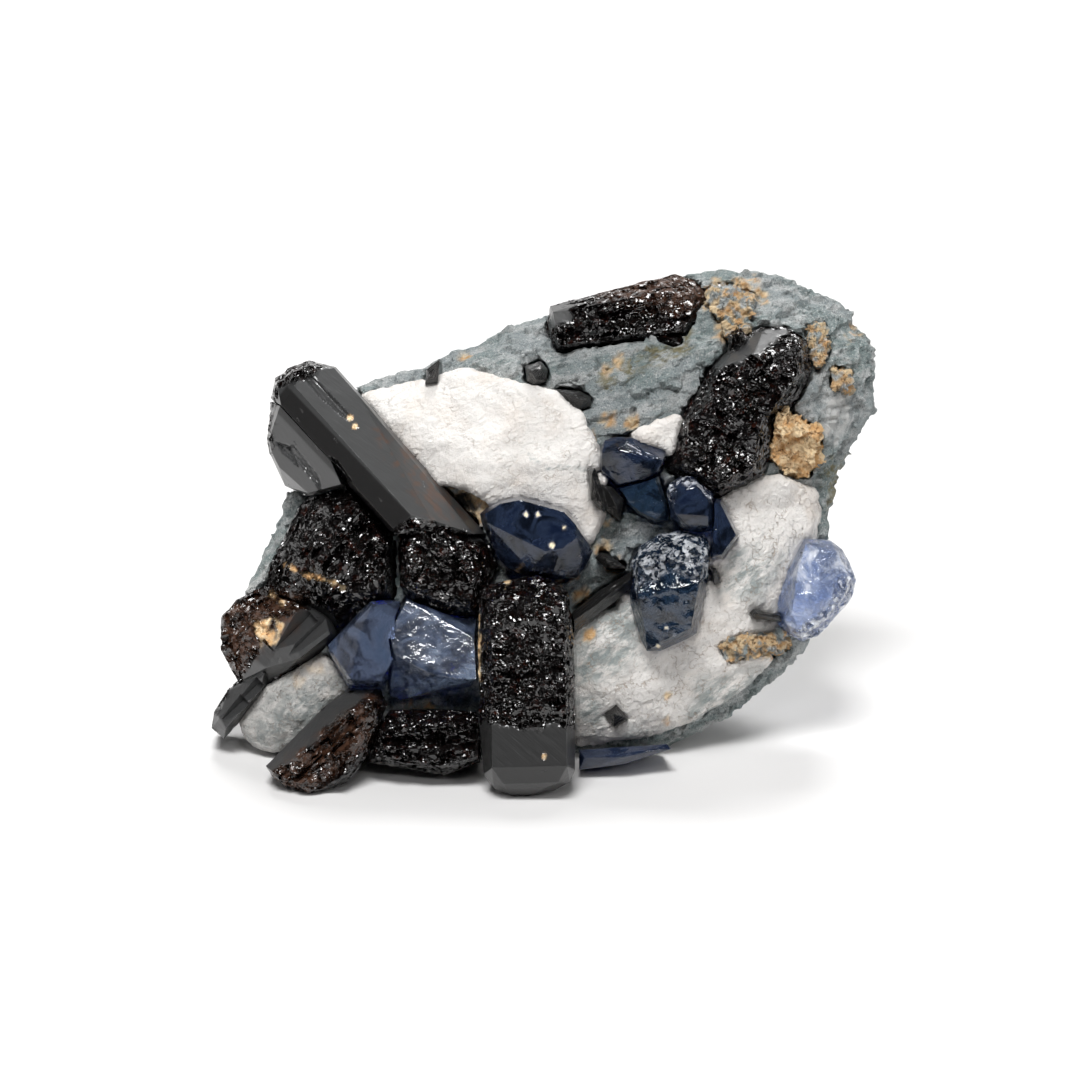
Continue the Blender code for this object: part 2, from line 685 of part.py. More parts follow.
                "rim": [(3.0, -7.4), (6.0, -5.0), (9.2, -3.1), (9.4, -4.6), (7.2, -6.4), (3.2, -9.4)],
                "rim_out": 10.2,
                "crown": [(3.2, -8.2, 11.8), (6.4, -5.9, 11.6), (9.0, -3.9, 11.2)],
                "root": 6.0,
            },
        ],
        "grooves": None,
    },
    "neptunite_rod_right": {
        "finish": "neptunite_black",
        "parts": [
            {
                "rim": [(17.0, -2.7), (17.6, -2.8), (18.1, -4.3), (17.4, -4.5)],
                "rim_out": 10.6,
                "crown": [(17.4, -3.3, 11.2)],
                "root": 5.0,
            },
        ],
        "grooves": None,
    },
    "neptunite_needle_lower_right": {
        "finish": "neptunite_black",
        "parts": [
            {
                "rim": [(20.9, -7.3), (21.3, -6.9), (24.0, -7.5), (24.2, -8.1), (21.4, -7.9)],
                "rim_out": 8.0,
                "crown": [(21.8, -7.4, 8.8), (23.6, -7.8, 8.4)],
                "root": 3.0,
            },
        ],
        "grooves": None,
    },
    "neptunite_octahedral": {
        "finish": "neptunite_black",
        "parts": [
            {
                "rim": [(6.4, -17.3), (7.6, -16.4), (8.8, -17.8), (7.4, -18.7)],
                "rim_out": 6.6,
                "crown": [(7.5, -17.4, 8.4)],
                "root": 2.0,
            },
        ],
        "grooves": None,
    },
    "benitoite_left_inner": {
        "finish": "benitoite_grey_blue",
        "parts": [
            {
                "rim": [
                    (-13.3, -5.8), (-11.5, -6.7), (-9.4, -7.8), (-6.4, -7.9), (-6.2, -14.0),
                    (-7.0, -14.7), (-10.0, -15.2), (-14.0, -16.0), (-15.0, -15.6), (-14.6, -12.8),
                    (-15.1, -10.0), (-14.7, -8.2),
                ],
                "rim_out": 9.0,
                "crown": [
                    (-13.3, -6.1, 11.6), (-11.4, -7.0, 11.8), (-6.6, -9.8, 12.5),
                    (-6.4, -13.9, 13.6), (-8.0, -13.9, 13.6), (-10.8, -13.4, 13.4),
                    (-13.2, -12.2, 13.2), (-14.6, -11.3, 12.9), (-14.9, -9.9, 12.5),
                    (-14.5, -8.3, 12.1),
                ],
                "root": 4.0,
            },
        ],
        "grooves": None,
    },
    "benitoite_left_outer": {
        "finish": "benitoite_grey_blue",
        "parts": [
            {
                "rim": [
                    (-21.2, -10.5), (-19.8, -9.6), (-18.4, -8.4), (-17.2, -6.4), (-16.8, -5.9),
                    (-14.0, -6.1), (-13.8, -7.2), (-14.2, -11.8), (-15.5, -14.4), (-15.6, -14.7),
                    (-19.1, -14.9), (-21.1, -11.2),
                ],
                "rim_out": 9.4,
                "crown": [
                    (-16.9, -6.6, 12.8), (-17.1, -9.2, 12.8), (-18.3, -12.1, 12.8),
                    (-18.9, -13.9, 12.8), (-15.9, -14.1, 12.8), (-14.5, -11.5, 12.8),
                    (-14.6, -7.7, 12.8), (-19.9, -9.7, 11.2), (-20.8, -11.1, 10.8),
                    (-19.3, -13.9, 12.2),
                ],
                "root": 4.0,
            },
        ],
        "grooves": None,
    },
    "benitoite_center": {
        "finish": "benitoite_navy",
        "parts": [
            {
                "rim": [
                    (-6.0, 2.6), (-5.4, 3.2), (-4.0, 3.9), (-2.0, 4.4), (0.5, 3.7), (2.8, 3.1),
                    (3.8, 1.8), (4.6, -0.2), (5.3, -1.1), (4.9, -2.0), (3.7, -3.8), (2.0, -3.9),
                    (-1.6, -3.6), (-3.2, -2.8), (-4.3, -1.6), (-5.0, 0.4), (-5.8, 1.6),
                ],
                "rim_out": 11.6,
                "crown": [
                    (-5.5, 2.6, 14.4), (-4.0, 3.6, 14.5), (-2.0, 4.0, 14.7), (0.5, 3.3, 15.0),
                    (2.4, 2.8, 15.2), (3.5, 1.6, 15.4), (3.7, 0.2, 15.5), (2.2, -0.9, 15.5),
                    (0.6, -1.2, 15.4), (-0.2, -0.8, 15.2), (-4.0, 1.1, 14.7), (-5.3, 1.7, 14.5),
                    (-1.0, -3.0, 13.6), (1.2, -3.4, 13.4), (4.3, -1.6, 13.6),
                ],
                "root": 5.0,
            },
        ],
        "grooves": None,
    },
    "benitoite_upper": {
        "finish": "benitoite_navy",
        "parts": [
            {
                "rim": [
                    (6.0, 9.0), (6.5, 10.0), (7.5, 10.3), (8.9, 10.3), (10.6, 9.8), (12.6, 8.9),
                    (12.7, 8.2), (12.0, 6.8), (10.8, 6.0), (7.7, 5.2), (6.0, 7.0),
                ],
                "rim_out": 9.6,
                "crown": [
                    (6.2, 8.8, 11.2), (8.0, 9.0, 11.7), (12.3, 7.9, 12.2), (11.7, 6.8, 12.0),
                    (10.7, 6.2, 11.7), (7.8, 5.5, 10.9), (6.2, 7.0, 10.8),
                ],
                "root": 4.0,
            },
        ],
        "grooves": None,
    },
    "benitoite_middle": {
        "finish": "benitoite_navy",
        "parts": [
            {
                "rim": [
                    (7.7, 5.3), (9.0, 5.6), (10.8, 6.0), (11.8, 6.6), (12.3, 4.8), (12.9, 3.0),
                    (12.8, 2.0), (11.6, 1.7), (10.0, 2.5), (8.7, 3.5),
                ],
                "rim_out": 10.0,
                "crown": [
                    (8.2, 4.9, 11.2), (11.5, 6.0, 12.2), (12.5, 3.1, 12.4), (11.6, 2.1, 12.0),
                    (10.0, 2.8, 11.6), (8.9, 3.7, 11.3),
                ],
                "root": 4.0,
            },
        ],
        "grooves": None,
    },
    "benitoite_cracked": {
        "finish": "benitoite_navy",
        "parts": [
            {
                "rim": [
                    (12.5, 4.2), (12.9, 5.6), (14.0, 6.3), (15.3, 6.4), (16.2, 5.4), (17.3, 4.6),
                    (17.4, 1.0), (16.0, 0.7), (14.4, 1.0), (12.9, 2.2),
                ],
                "rim_out": 10.6,
                "crown": [
                    (13.1, 4.4, 12.6), (14.3, 5.6, 12.5), (15.6, 5.2, 12.7), (16.9, 3.8, 13.0),
                    (16.8, 2.4, 13.1), (13.6, 2.6, 12.8), (14.6, 1.5, 12.3), (16.8, 1.4, 12.5),
                ],
                "root": 4.0,
            },
        ],
        "grooves": None,
    },
    "benitoite_triangle": {
        "finish": "benitoite_navy",
        "parts": [
            {
                "rim": [
                    (17.1, 4.2), (18.1, 4.1), (18.6, 3.3), (19.9, 0.5), (19.3, -0.5), (18.2, -1.8),
                    (17.1, -1.9),
                ],
                "rim_out": 9.8,
                "crown": [
                    (17.4, 3.7, 11.9), (18.0, 3.7, 11.8), (19.6, 0.5, 11.3), (18.1, -1.5, 11.6),
                    (17.3, -1.6, 11.8),
                ],
                "root": 4.0,
            },
        ],
        "grooves": None,
    },
    "benitoite_lower": {
        "finish": "benitoite_teal",
        "parts": [
            {
                "rim": [
                    (9.1, -2.2), (10.0, -0.6), (11.6, 0.4), (14.4, 1.1), (16.4, 0.6), (17.1, -0.6),
                    (17.1, -2.4), (16.6, -4.4), (16.1, -7.0), (15.7, -9.3), (14.9, -9.8),
                    (13.4, -10.3), (12.0, -11.1), (10.7, -11.1), (10.1, -10.0), (9.7, -8.0),
                    (9.1, -6.6), (8.9, -5.0),
                ],
                "rim_out": 10.0,
                "crown": [
                    (9.8, -2.4, 12.6), (12.4, -0.8, 12.8), (15.0, -0.4, 12.8), (16.4, -1.6, 12.7),
                    (15.9, -4.4, 13.3), (9.9, -5.6, 13.2), (10.5, -9.0, 12.4), (12.0, -10.2, 12.1),
                    (15.1, -8.8, 12.4),
                ],
                "root": 4.0,
            },
        ],
        "grooves": None,
    },
    "benitoite_right": {
        "finish": "benitoite_pale",
        "parts": [
            {
                "rim": [
                    (26.4, 0.1), (27.8, 0.1), (29.0, 0.0), (30.2, -0.9), (31.0, -2.3),
                    (31.6, -4.0), (31.3, -5.4), (30.7, -6.4), (29.8, -7.2), (28.4, -8.6),
                    (27.8, -9.6), (26.2, -10.1), (24.6, -9.4), (23.8, -8.4), (23.6, -6.0),
                    (24.4, -3.8), (25.7, -2.0), (26.1, -0.9),
                ],
                "rim_out": 5.2,
                "crown": [
                    (26.6, -0.4, 7.6), (29.6, -1.2, 7.4), (31.0, -3.8, 7.4), (30.4, -5.6, 8.0),
                    (28.0, -2.6, 9.2), (28.0, -6.2, 9.4), (25.9, -2.6, 8.2), (25.4, -5.8, 9.0),
                    (25.2, -7.4, 8.6), (24.3, -8.1, 7.4), (26.0, -9.3, 7.8), (28.0, -8.2, 8.2),
                ],
                "root": -2.0,
            },
        ],
        "grooves": None,
    },
    "benitoite_bottom_strip": {
        "finish": "benitoite_navy",
        "parts": [
            {
                "rim": [
                    (3.9, -21.0), (8.5, -21.1), (12.7, -20.4), (13.1, -20.9), (8.5, -22.4),
                    (3.9, -23.0),
                ],
                "rim_out": 8.2,
                "crown": [(4.4, -21.8, 9.4), (8.4, -21.7, 9.4), (11.8, -20.9, 8.8)],
                "root": 3.0,
            },
        ],
        "grooves": None,
    },
}
ROOT_SHRINK = 0.82  # the root's outline as a share of the rim's
SHORTEST_GROOVE = 3.0
GROOVE_SPREAD = 4.0  # how much longer the longest groove is
GROOVE_WIDTH = 1.4  # as a share of its depth


def crystal_part(part):
    # One convex part of a crystal, from its root to its crown.
    rim = part["rim"]
    middle = [sum(point[axis] for point in rim) / len(rim) for axis in (0, 1)]
    points = [place(*point) if len(point) == 3 else place(*point, part["rim_out"]) for point in rim]
    points += [place(*spot) for spot in part["crown"]]
    for across, up in (point[:2] for point in rim):
        root_across = middle[0] + (across - middle[0]) * ROOT_SHRINK
        root_up = middle[1] + (up - middle[1]) * ROOT_SHRINK
        points.append(place(root_across, root_up, part["root"]))
    return above_floor(convex_solid(points), FLOOR_CLEARANCE)


def wedge(centre, along, length, width, depth):
    # A V-shaped groove's cutter on the show side of a crystal.
    across = OUT.cross(along).normalized()
    points = []
    for end in (-0.5, 0.5):
        spot = centre + along * (end * length)
        points.append(spot + OUT * depth * 3.0 + across * width * 2.0)
        points.append(spot + OUT * depth * 3.0 - across * width * 2.0)
        points.append(spot - OUT * depth + across * width * 0.15)
    return convex_solid(points)


def cut_grooves(item, style, parts, collection):
    # Etched grooves along the crystal, at seeded places on its crown.
    settings = style["grooves"]
    along = Vector((settings["along"][0], 0.0, 0.0)) + UP * settings["along"][1]
    along.normalize()
    for turn in range(settings["count"]):
        part = parts[turn % len(parts)]
        crown = [Vector(place(*spot)) for spot in part["crown"]]
        seed = settings["seed"]
        shares = [noise.cell(Vector((turn + 0.5, k + 0.5, seed))) ** 2 for k in range(len(crown))]
        total = sum(shares) + 1e-9
        centre = sum((spot * share for spot, share in zip(crown, shares)), Vector()) / total
        size = settings["depth"]
        length = SHORTEST_GROOVE + GROOVE_SPREAD * noise.cell(Vector((turn + 0.5, 7.5, seed)))
        cutter = wedge(centre, along, length, size * GROOVE_WIDTH, size)
        tool = make_object("groove", cutter, item.data.materials[0], collection)
        boolean(item, tool, "DIFFERENCE")


def boxes_meet(first, second, margin):
    # Whether the bounds of two lists of points come within the margin of each other.
    for axis in range(3):
        if min(p[axis] for p in first) > max(p[axis] for p in second) + margin:
            return False
        if min(p[axis] for p in second) > max(p[axis] for p in first) + margin:
            return False
    return True


def make_crystal(name, style, finishes, collection):
    material = finishes[style["finish"]]
    item = make_object(name, crystal_part(style["parts"][0]), material, collection)
    for part in style["parts"][1:]:
        boolean(item, make_object("joined", crystal_part(part), material, collection), "UNION")
    if style["grooves"]:
        cut_grooves(item, style, style["parts"], collection)
    return item


def cut_room(item, tools, collection):
    # Cuts each neighbour's grown form out of a piece.
    for tool in tools:
        here = [vert.co for vert in item.data.vertices]
        there = [vert.co for vert in tool.verts]
        if boxes_meet(here, there, 0.0):
            room = make_object("room", tool.copy(), item.data.materials[0], collection)
            boolean(item, room, "DIFFERENCE")


# The cavity beside the central benitoite, and the smaller pits of the face
PITS = [
    {"center": (-8.4, 3.7, 8.5), "radius": 1.9},
    {"center": (6.9, 1.0, 8.6), "radius": 1.1},
    {"center": (12.2, 21.0, 6.0), "radius": 0.9},
    {"center": (29.0, 8.5, 5.0), "radius": 1.2},
]


def cut_pits(item, collection):
    for pit in PITS:
        hollow = bmesh.new()
        bmesh.ops.create_icosphere(hollow, subdivisions=1, radius=pit["radius"])
        for vert in hollow.verts:
            vert.co += place(*pit["center"])
        tool = make_object("pit", hollow, item.data.materials[0], collection)
        boolean(item, tool, "DIFFERENCE")


def main():
    clear_scene()
    collection = bpy.data.collections.new("benitoite_with_neptunite")
    bpy.context.scene.collection.children.link(collection)
    finishes = {
        "schist": make_material("schist_blue_grey", (0.22, 0.28, 0.29), 0.8),
        "natrolite_white": make_material("natrolite_white", (0.86, 0.83, 0.79), 0.75),
        "tan_crust": make_material("tan_crust", (0.72, 0.45, 0.17), 0.85),
        "neptunite_black": make_material("neptunite_black", (0.012, 0.008, 0.007), 0.12),
        "benitoite_navy": make_material("benitoite_navy", (0.02, 0.04, 0.13), 0.08),
        "benitoite_grey_blue": make_material("benitoite_grey_blue", (0.06, 0.11, 0.22), 0.1),
        "benitoite_teal": make_material("benitoite_teal", (0.02, 0.06, 0.11), 0.1),
        "benitoite_pale": make_material("benitoite_pale", (0.22, 0.32, 0.52), 0.12),
    }

    # Crystals in front keep their form, and those after them in the list make room
    rooms = []
    for name, style in CRYSTALS.items():
        item = make_crystal(name, style, finishes, collection)
        cut_room(item, rooms, collection)
        keep_largest(item)
        rooms += [grown(crystal_part(part), GAP) for part in style["parts"]]

    # Crusts make room for the crystals, and the white ones for the tan ones
    tan_styles = [style for name, style in CRUSTS.items() if name.startswith("tan")]
    for name, style in CRUSTS.items():
        item = make_crust(name, style, finishes, collection)
        if name.startswith("natrolite"):
            for tan in tan_styles:
                boolean(item, crust_socket(tan, finishes, collection), "DIFFERENCE")
        cut_room(item, rooms, collection)
        keep_largest(item)

    rock = make_object("matrix_schist", make_rock(), finishes["schist"], collection)
    for style in CRUSTS.values():
        boolean(rock, crust_socket(style, finishes, collection), "DIFFERENCE")
    cut_room(rock, rooms, collection)
    cut_pits(rock, collection)
    keep_largest(rock)

    for item in collection.objects:
        item.data.transform(Matrix.Scale(MILLIMETRE, 4))


main()
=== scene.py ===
import math
import bmesh
import bpy
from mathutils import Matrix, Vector, noise


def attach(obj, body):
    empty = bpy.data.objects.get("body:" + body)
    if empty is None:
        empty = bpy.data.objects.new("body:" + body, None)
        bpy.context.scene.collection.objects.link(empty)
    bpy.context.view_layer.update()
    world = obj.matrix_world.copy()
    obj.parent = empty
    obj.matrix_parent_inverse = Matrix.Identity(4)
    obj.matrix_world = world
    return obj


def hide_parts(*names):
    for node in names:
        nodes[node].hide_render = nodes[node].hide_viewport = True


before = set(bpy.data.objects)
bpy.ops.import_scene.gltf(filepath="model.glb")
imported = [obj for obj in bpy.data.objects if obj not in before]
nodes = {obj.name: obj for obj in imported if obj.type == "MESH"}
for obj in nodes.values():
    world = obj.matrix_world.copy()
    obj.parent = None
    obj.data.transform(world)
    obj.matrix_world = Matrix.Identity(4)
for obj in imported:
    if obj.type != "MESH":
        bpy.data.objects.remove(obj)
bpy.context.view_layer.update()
print("frame loaded:", len(nodes), "nodes")

mm = 0.001
faceLean = math.radians(20.0)  # the show face leans back from upright
faceLift = 19.5 * mm  # height of the face's centre over the surface
eyeDistance = 600.0 * mm  # the face is seen from here
acrossFace = Vector((1.0, 0.0, 0.0))
upFace = Vector((0.0, math.sin(faceLean), math.cos(faceLean)))
outFace = Vector((0.0, -math.cos(faceLean), math.sin(faceLean)))


def faceSpot(point):
    # a place in the frame as millimetres across, up and out of the show face, as the eye sees it
    offset = point - Vector((0.0, 0.0, faceLift))
    out = offset.dot(outFace)
    near = (eyeDistance - out) / eyeDistance * mm
    return offset.dot(acrossFace) / near, offset.dot(upFace) / near, out / mm


def faceWay(across, up, out=0.0):
    return (acrossFace * across + upFace * up + outFace * out).normalized()


def softStep(value, low, high):
    share = min(max((value - low) / (high - low), 0.0), 1.0)
    return share * share * (3.0 - 2.0 * share)


def edgeDistance(across, up, corners):
    # millimetres to the outline's edge, positive inside
    nearest = 1e9
    inside = False
    for index, (x1, y1) in enumerate(corners):
        x0, y0 = corners[index - 1]
        dx, dy = x1 - x0, y1 - y0
        along = min(max(((across - x0) * dx + (up - y0) * dy) / (dx * dx + dy * dy), 0.0), 1.0)
        nearest = min(nearest, math.hypot(across - x0 - along * dx, up - y0 - along * dy))
        if (y0 > up) != (y1 > up) and across < x0 + (up - y0) * dx / dy:
            inside = not inside
    return nearest if inside else -nearest


def pathDistance(across, up, points):
    nearest = 1e9
    for (x0, y0), (x1, y1) in zip(points, points[1:]):
        dx, dy = x1 - x0, y1 - y0
        along = min(max(((across - x0) * dx + (up - y0) * dy) / (dx * dx + dy * dy), 0.0), 1.0)
        nearest = min(nearest, math.hypot(across - x0 - along * dx, up - y0 - along * dy))
    return nearest


def ripple(point, size, amount, seed=0.0):
    return noise.noise(point / (size * mm) + Vector((seed, seed, seed))) * amount


# node trees

def addNode(tree, kind, inputs=None, **settings):
    # one node, its settings, and for each input a value or a socket to link
    node = tree.nodes.new(kind)
    for key, value in settings.items():
        setattr(node, key, value)
    for key, value in (inputs or {}).items():
        socket = node.inputs[key]
        if isinstance(value, bpy.types.NodeSocket):
            tree.links.new(value, socket)
        else:
            socket.default_value = value
    return node


def calc(tree, operation, a, b=0.0):
    return addNode(tree, "ShaderNodeMath", {0: a, 1: b}, operation=operation).outputs[0]


def vecCalc(tree, operation, a, b=(0.0, 0.0, 0.0)):
    node = addNode(tree, "ShaderNodeVectorMath", {0: a}, operation=operation)
    socket = node.inputs["Scale"] if operation == "SCALE" else node.inputs[1]
    if isinstance(b, bpy.types.NodeSocket):
        tree.links.new(b, socket)
    else:
        socket.default_value = b
    return node.outputs["Value" if operation == "DOT_PRODUCT" else "Vector"]


def noiseOf(tree, vector, scale, detail=3.0, rough=0.55, distortion=0.0):
    return addNode(
        tree, "ShaderNodeTexNoise",
        {"Vector": vector, "Scale": scale, "Detail": detail, "Roughness": rough, "Distortion": distortion},
    ).outputs["Fac"]


def rampOf(tree, value, low, high, start=0.0, end=1.0):
    # a soft step from start to end while the value goes from low to high
    node = addNode(tree, "ShaderNodeMapRange", {"Value": value}, interpolation_type="SMOOTHSTEP")
    for key, number in (("From Min", low), ("From Max", high), ("To Min", start), ("To Max", end)):
        node.inputs[key].default_value = number
    return node.outputs["Result"]


def mixColor(tree, share, first, second):
    node = addNode(tree, "ShaderNodeMix", {"Factor": share}, data_type="RGBA")
    for key, value in ((6, first), (7, second)):
        if isinstance(value, bpy.types.NodeSocket):
            tree.links.new(value, node.inputs[key])
        else:
            node.inputs[key].default_value = (*value, 1.0)
    return node.outputs[2]


def chips(tree, spot, size, slope, step):
    # broken chips: each cell is a tilted flat at a level of its own
    often = calc(tree, "DIVIDE", 1.0, size)
    cells = addNode(tree, "ShaderNodeTexVoronoi", {"Vector": spot, "Scale": often, "Randomness": 1.0})
    tilt = vecCalc(tree, "SUBTRACT", cells.outputs["Color"], (0.5, 0.5, 0.5))
    away = vecCalc(tree, "SUBTRACT", spot, cells.outputs["Position"])
    lean = calc(tree, "MULTIPLY", vecCalc(tree, "DOT_PRODUCT", tilt, away), calc(tree, "MULTIPLY", slope, 2.0))
    level = addNode(tree, "ShaderNodeSeparateXYZ", {0: tilt}).outputs[0]
    return calc(tree, "ADD", lean, calc(tree, "MULTIPLY", level, step))


def wandered(tree, spot, scale, amount):
    # the same places, moved about so that cells on them get crooked edges
    shift = addNode(tree, "ShaderNodeTexNoise", {"Vector": spot, "Scale": scale, "Detail": 3.0}).outputs["Color"]
    return vecCalc(tree, "ADD", spot, vecCalc(tree, "SCALE", vecCalc(tree, "SUBTRACT", shift, (0.5, 0.5, 0.5)), amount))


def drawnOut(tree, spot, way, stretch):
    # squeezes the places along a direction, so that a pattern on them is drawn out that way
    along = vecCalc(tree, "DOT_PRODUCT", spot, way)
    keep = calc(tree, "SUBTRACT", 1.0, calc(tree, "DIVIDE", 1.0, stretch))
    if not isinstance(way, bpy.types.NodeSocket):
        way = addNode(tree, "ShaderNodeCombineXYZ", {0: way[0], 1: way[1], 2: way[2]}).outputs[0]
    return vecCalc(tree, "SUBTRACT", spot, vecCalc(tree, "SCALE", way, calc(tree, "MULTIPLY", along, keep)))


# finishes

def newSurface(name):
    material = bpy.data.materials.new(name)
    material.use_nodes = True
    tree = material.node_tree
    where = tree.nodes.new("ShaderNodeTexCoord").outputs["Object"]
    spot = vecCalc(tree, "SCALE", where, 1.0 / mm)  # patterns are drawn in millimetres
    return material, tree, tree.nodes["Principled BSDF"], spot


def painted(tree, name):
    return addNode(tree, "ShaderNodeAttribute", attribute_name=name).outputs["Fac"]


def linkBump(tree, shader, height, distance):
    bump = addNode(tree, "ShaderNodeBump", {"Height": height, "Distance": distance * mm, "Strength": 1.0})
    tree.links.new(bump.outputs["Normal"], shader.inputs["Normal"])


tanLook = {"tan": (0.72, 0.43, 0.19), "pale": (0.86, 0.67, 0.42), "brown": (0.17, 0.08, 0.025), "speck": (0.85, 0.74, 0.52)}


def tanColor(tree, spot):
    look = tanLook
    base = mixColor(tree, rampOf(tree, noiseOf(tree, spot, 0.7, 4.0, 0.65), 0.38, 0.60), look["tan"], look["pale"])
    return mixColor(tree, rampOf(tree, noiseOf(tree, spot, 1.5, 5.0, 0.75), 0.55, 0.68, 0.0, 0.9), base, look["brown"])


schistLook = {
    "grey": (0.345, 0.385, 0.395), "pale": (0.60, 0.62, 0.615), "white": (0.80, 0.80, 0.78),
    "dark": (0.10, 0.125, 0.13), "teal": (0.265, 0.335, 0.33), "olive": (0.24, 0.21, 0.10),
    "foliation": faceWay(0.90, 0.36, 0.25),
}


def makeSchist():
    look = schistLook
    material, tree, shader, spot = newSurface("schist")
    flow = drawnOut(tree, spot, look["foliation"], 3.0)
    base = mixColor(tree, rampOf(tree, noiseOf(tree, spot, 0.13, 4.0, 0.6), 0.36, 0.66), look["grey"], look["teal"])
    base = mixColor(tree, rampOf(tree, noiseOf(tree, flow, 0.55, 6.0, 0.72), 0.44, 0.62, 0.0, 0.95), base, look["pale"])
    base = mixColor(tree, rampOf(tree, noiseOf(tree, flow, 0.8, 6.0, 0.72), 0.55, 0.72, 0.0, 0.85), base, look["dark"])
    base = mixColor(tree, rampOf(tree, noiseOf(tree, spot, 4.5, 3.0, 0.8), 0.54, 0.66, 0.0, 0.8), base, look["white"])
    base = mixColor(tree, rampOf(tree, noiseOf(tree, spot, 6.3, 3.0, 0.8), 0.53, 0.64, 0.0, 0.85), base, look["dark"])
    base = mixColor(tree, calc(tree, "MULTIPLY", painted(tree, "olive"),
                               rampOf(tree, noiseOf(tree, flow, 1.3, 5.0, 0.7), 0.42, 0.58, 0.0, 0.9)), base, look["olive"])
    base = mixColor(tree, calc(tree, "MULTIPLY", painted(tree, "pale"), 0.75), base, look["white"])
    base = mixColor(tree, painted(tree, "tan"), base, tanColor(tree, spot))
    base = mixColor(tree, painted(tree, "dark"), base, (0.012, 0.010, 0.008))
    tree.links.new(base, shader.inputs["Base Color"])
    shader.inputs["Roughness"].default_value = 0.62
    grit = calc(tree, "ADD", noiseOf(tree, spot, 3.2, 6.0, 0.78), calc(tree, "MULTIPLY", noiseOf(tree, flow, 1.1, 5.0), 0.7))
    linkBump(tree, shader, grit, 0.62)
    return material


natroliteLook = {
    "white": (0.755, 0.73, 0.70), "cream": (0.66, 0.60, 0.545), "grey": (0.29, 0.325, 0.32),
    "crack": (0.46, 0.36, 0.28), "dark": (0.06, 0.07, 0.07),
}


def makeNatrolite(name, greyShare, crackSize, crackShare, tone=1.0):
    look = {key: tuple(part * tone for part in color) for key, color in natroliteLook.items()}
    material, tree, shader, spot = newSurface(name)
    base = mixColor(tree, rampOf(tree, noiseOf(tree, spot, 0.2, 5.0, 0.65), 0.45, 0.72, 0.0, 0.75), look["white"], look["cream"])
    flow = drawnOut(tree, spot, faceWay(0.82, 0.57), 3.0)
    streaks = noiseOf(tree, flow, 0.8, 6.0, 0.75)
    base = mixColor(tree, rampOf(tree, streaks, 0.56, 0.72, 0.0, greyShare), base, look["grey"])
    greys = calc(tree, "MULTIPLY", painted(tree, "pale"), rampOf(tree, noiseOf(tree, flow, 0.9, 6.0, 0.75), 0.36, 0.56))
    base = mixColor(tree, greys, base, look["grey"])
    specks = rampOf(tree, noiseOf(tree, spot, 3.8, 4.0, 0.8), 0.60, 0.68, 0.0, greyShare)
    base = mixColor(tree, specks, base, look["dark"])
    edges = addNode(tree, "ShaderNodeTexVoronoi", {"Vector": wandered(tree, spot, 0.7, 5.0), "Scale": 1.0 / crackSize},
                    feature="DISTANCE_TO_EDGE").outputs["Distance"]
    cracks = calc(tree, "MULTIPLY", rampOf(tree, edges, 0.004, 0.022, 1.0, 0.0),
                  rampOf(tree, noiseOf(tree, spot, 0.5, 3.0), 0.42, 0.58, 0.0, crackShare))
    base = mixColor(tree, cracks, base, look["crack"])
    base = mixColor(tree, painted(tree, "tan"), base, tanColor(tree, spot))
    tree.links.new(base, shader.inputs["Base Color"])
    shader.inputs["Roughness"].default_value = 0.6
    grit = calc(tree, "SUBTRACT", noiseOf(tree, spot, 2.6, 6.0, 0.74), calc(tree, "MULTIPLY", cracks, 0.7))
    linkBump(tree, shader, grit, 0.26)
    return material


def makeTan():
    material, tree, shader, spot = newSurface("tanCrust")
    tree.links.new(tanColor(tree, spot), shader.inputs["Base Color"])
    shader.inputs["Roughness"].default_value = 0.85
    linkBump(tree, shader, noiseOf(tree, spot, 3.5, 6.0, 0.75), 0.35)
    return material


neptuniteLook = {
    "face": (0.034, 0.0345, 0.035), "faceRoughness": 0.32, "black": (0.0028, 0.0021, 0.0020),
    "red": (0.045, 0.010, 0.005), "brown": (0.075, 0.032, 0.016), "ior": 1.70, "shine": 0.5,
    "glossRoughness": 0.05, "chip": 0.55, "chipSlope": 0.62, "chipStep": 0.04, "lines": 0.03,
    "lineWay": faceWay(0.75, -0.66),
}
inkLook = {
    **neptuniteLook, "face": (0.010, 0.0096, 0.0095), "faceRoughness": 0.16, "shine": 0.34, "lines": 0.22,
    "lineWay": faceWay(0.76, 0.65),
}


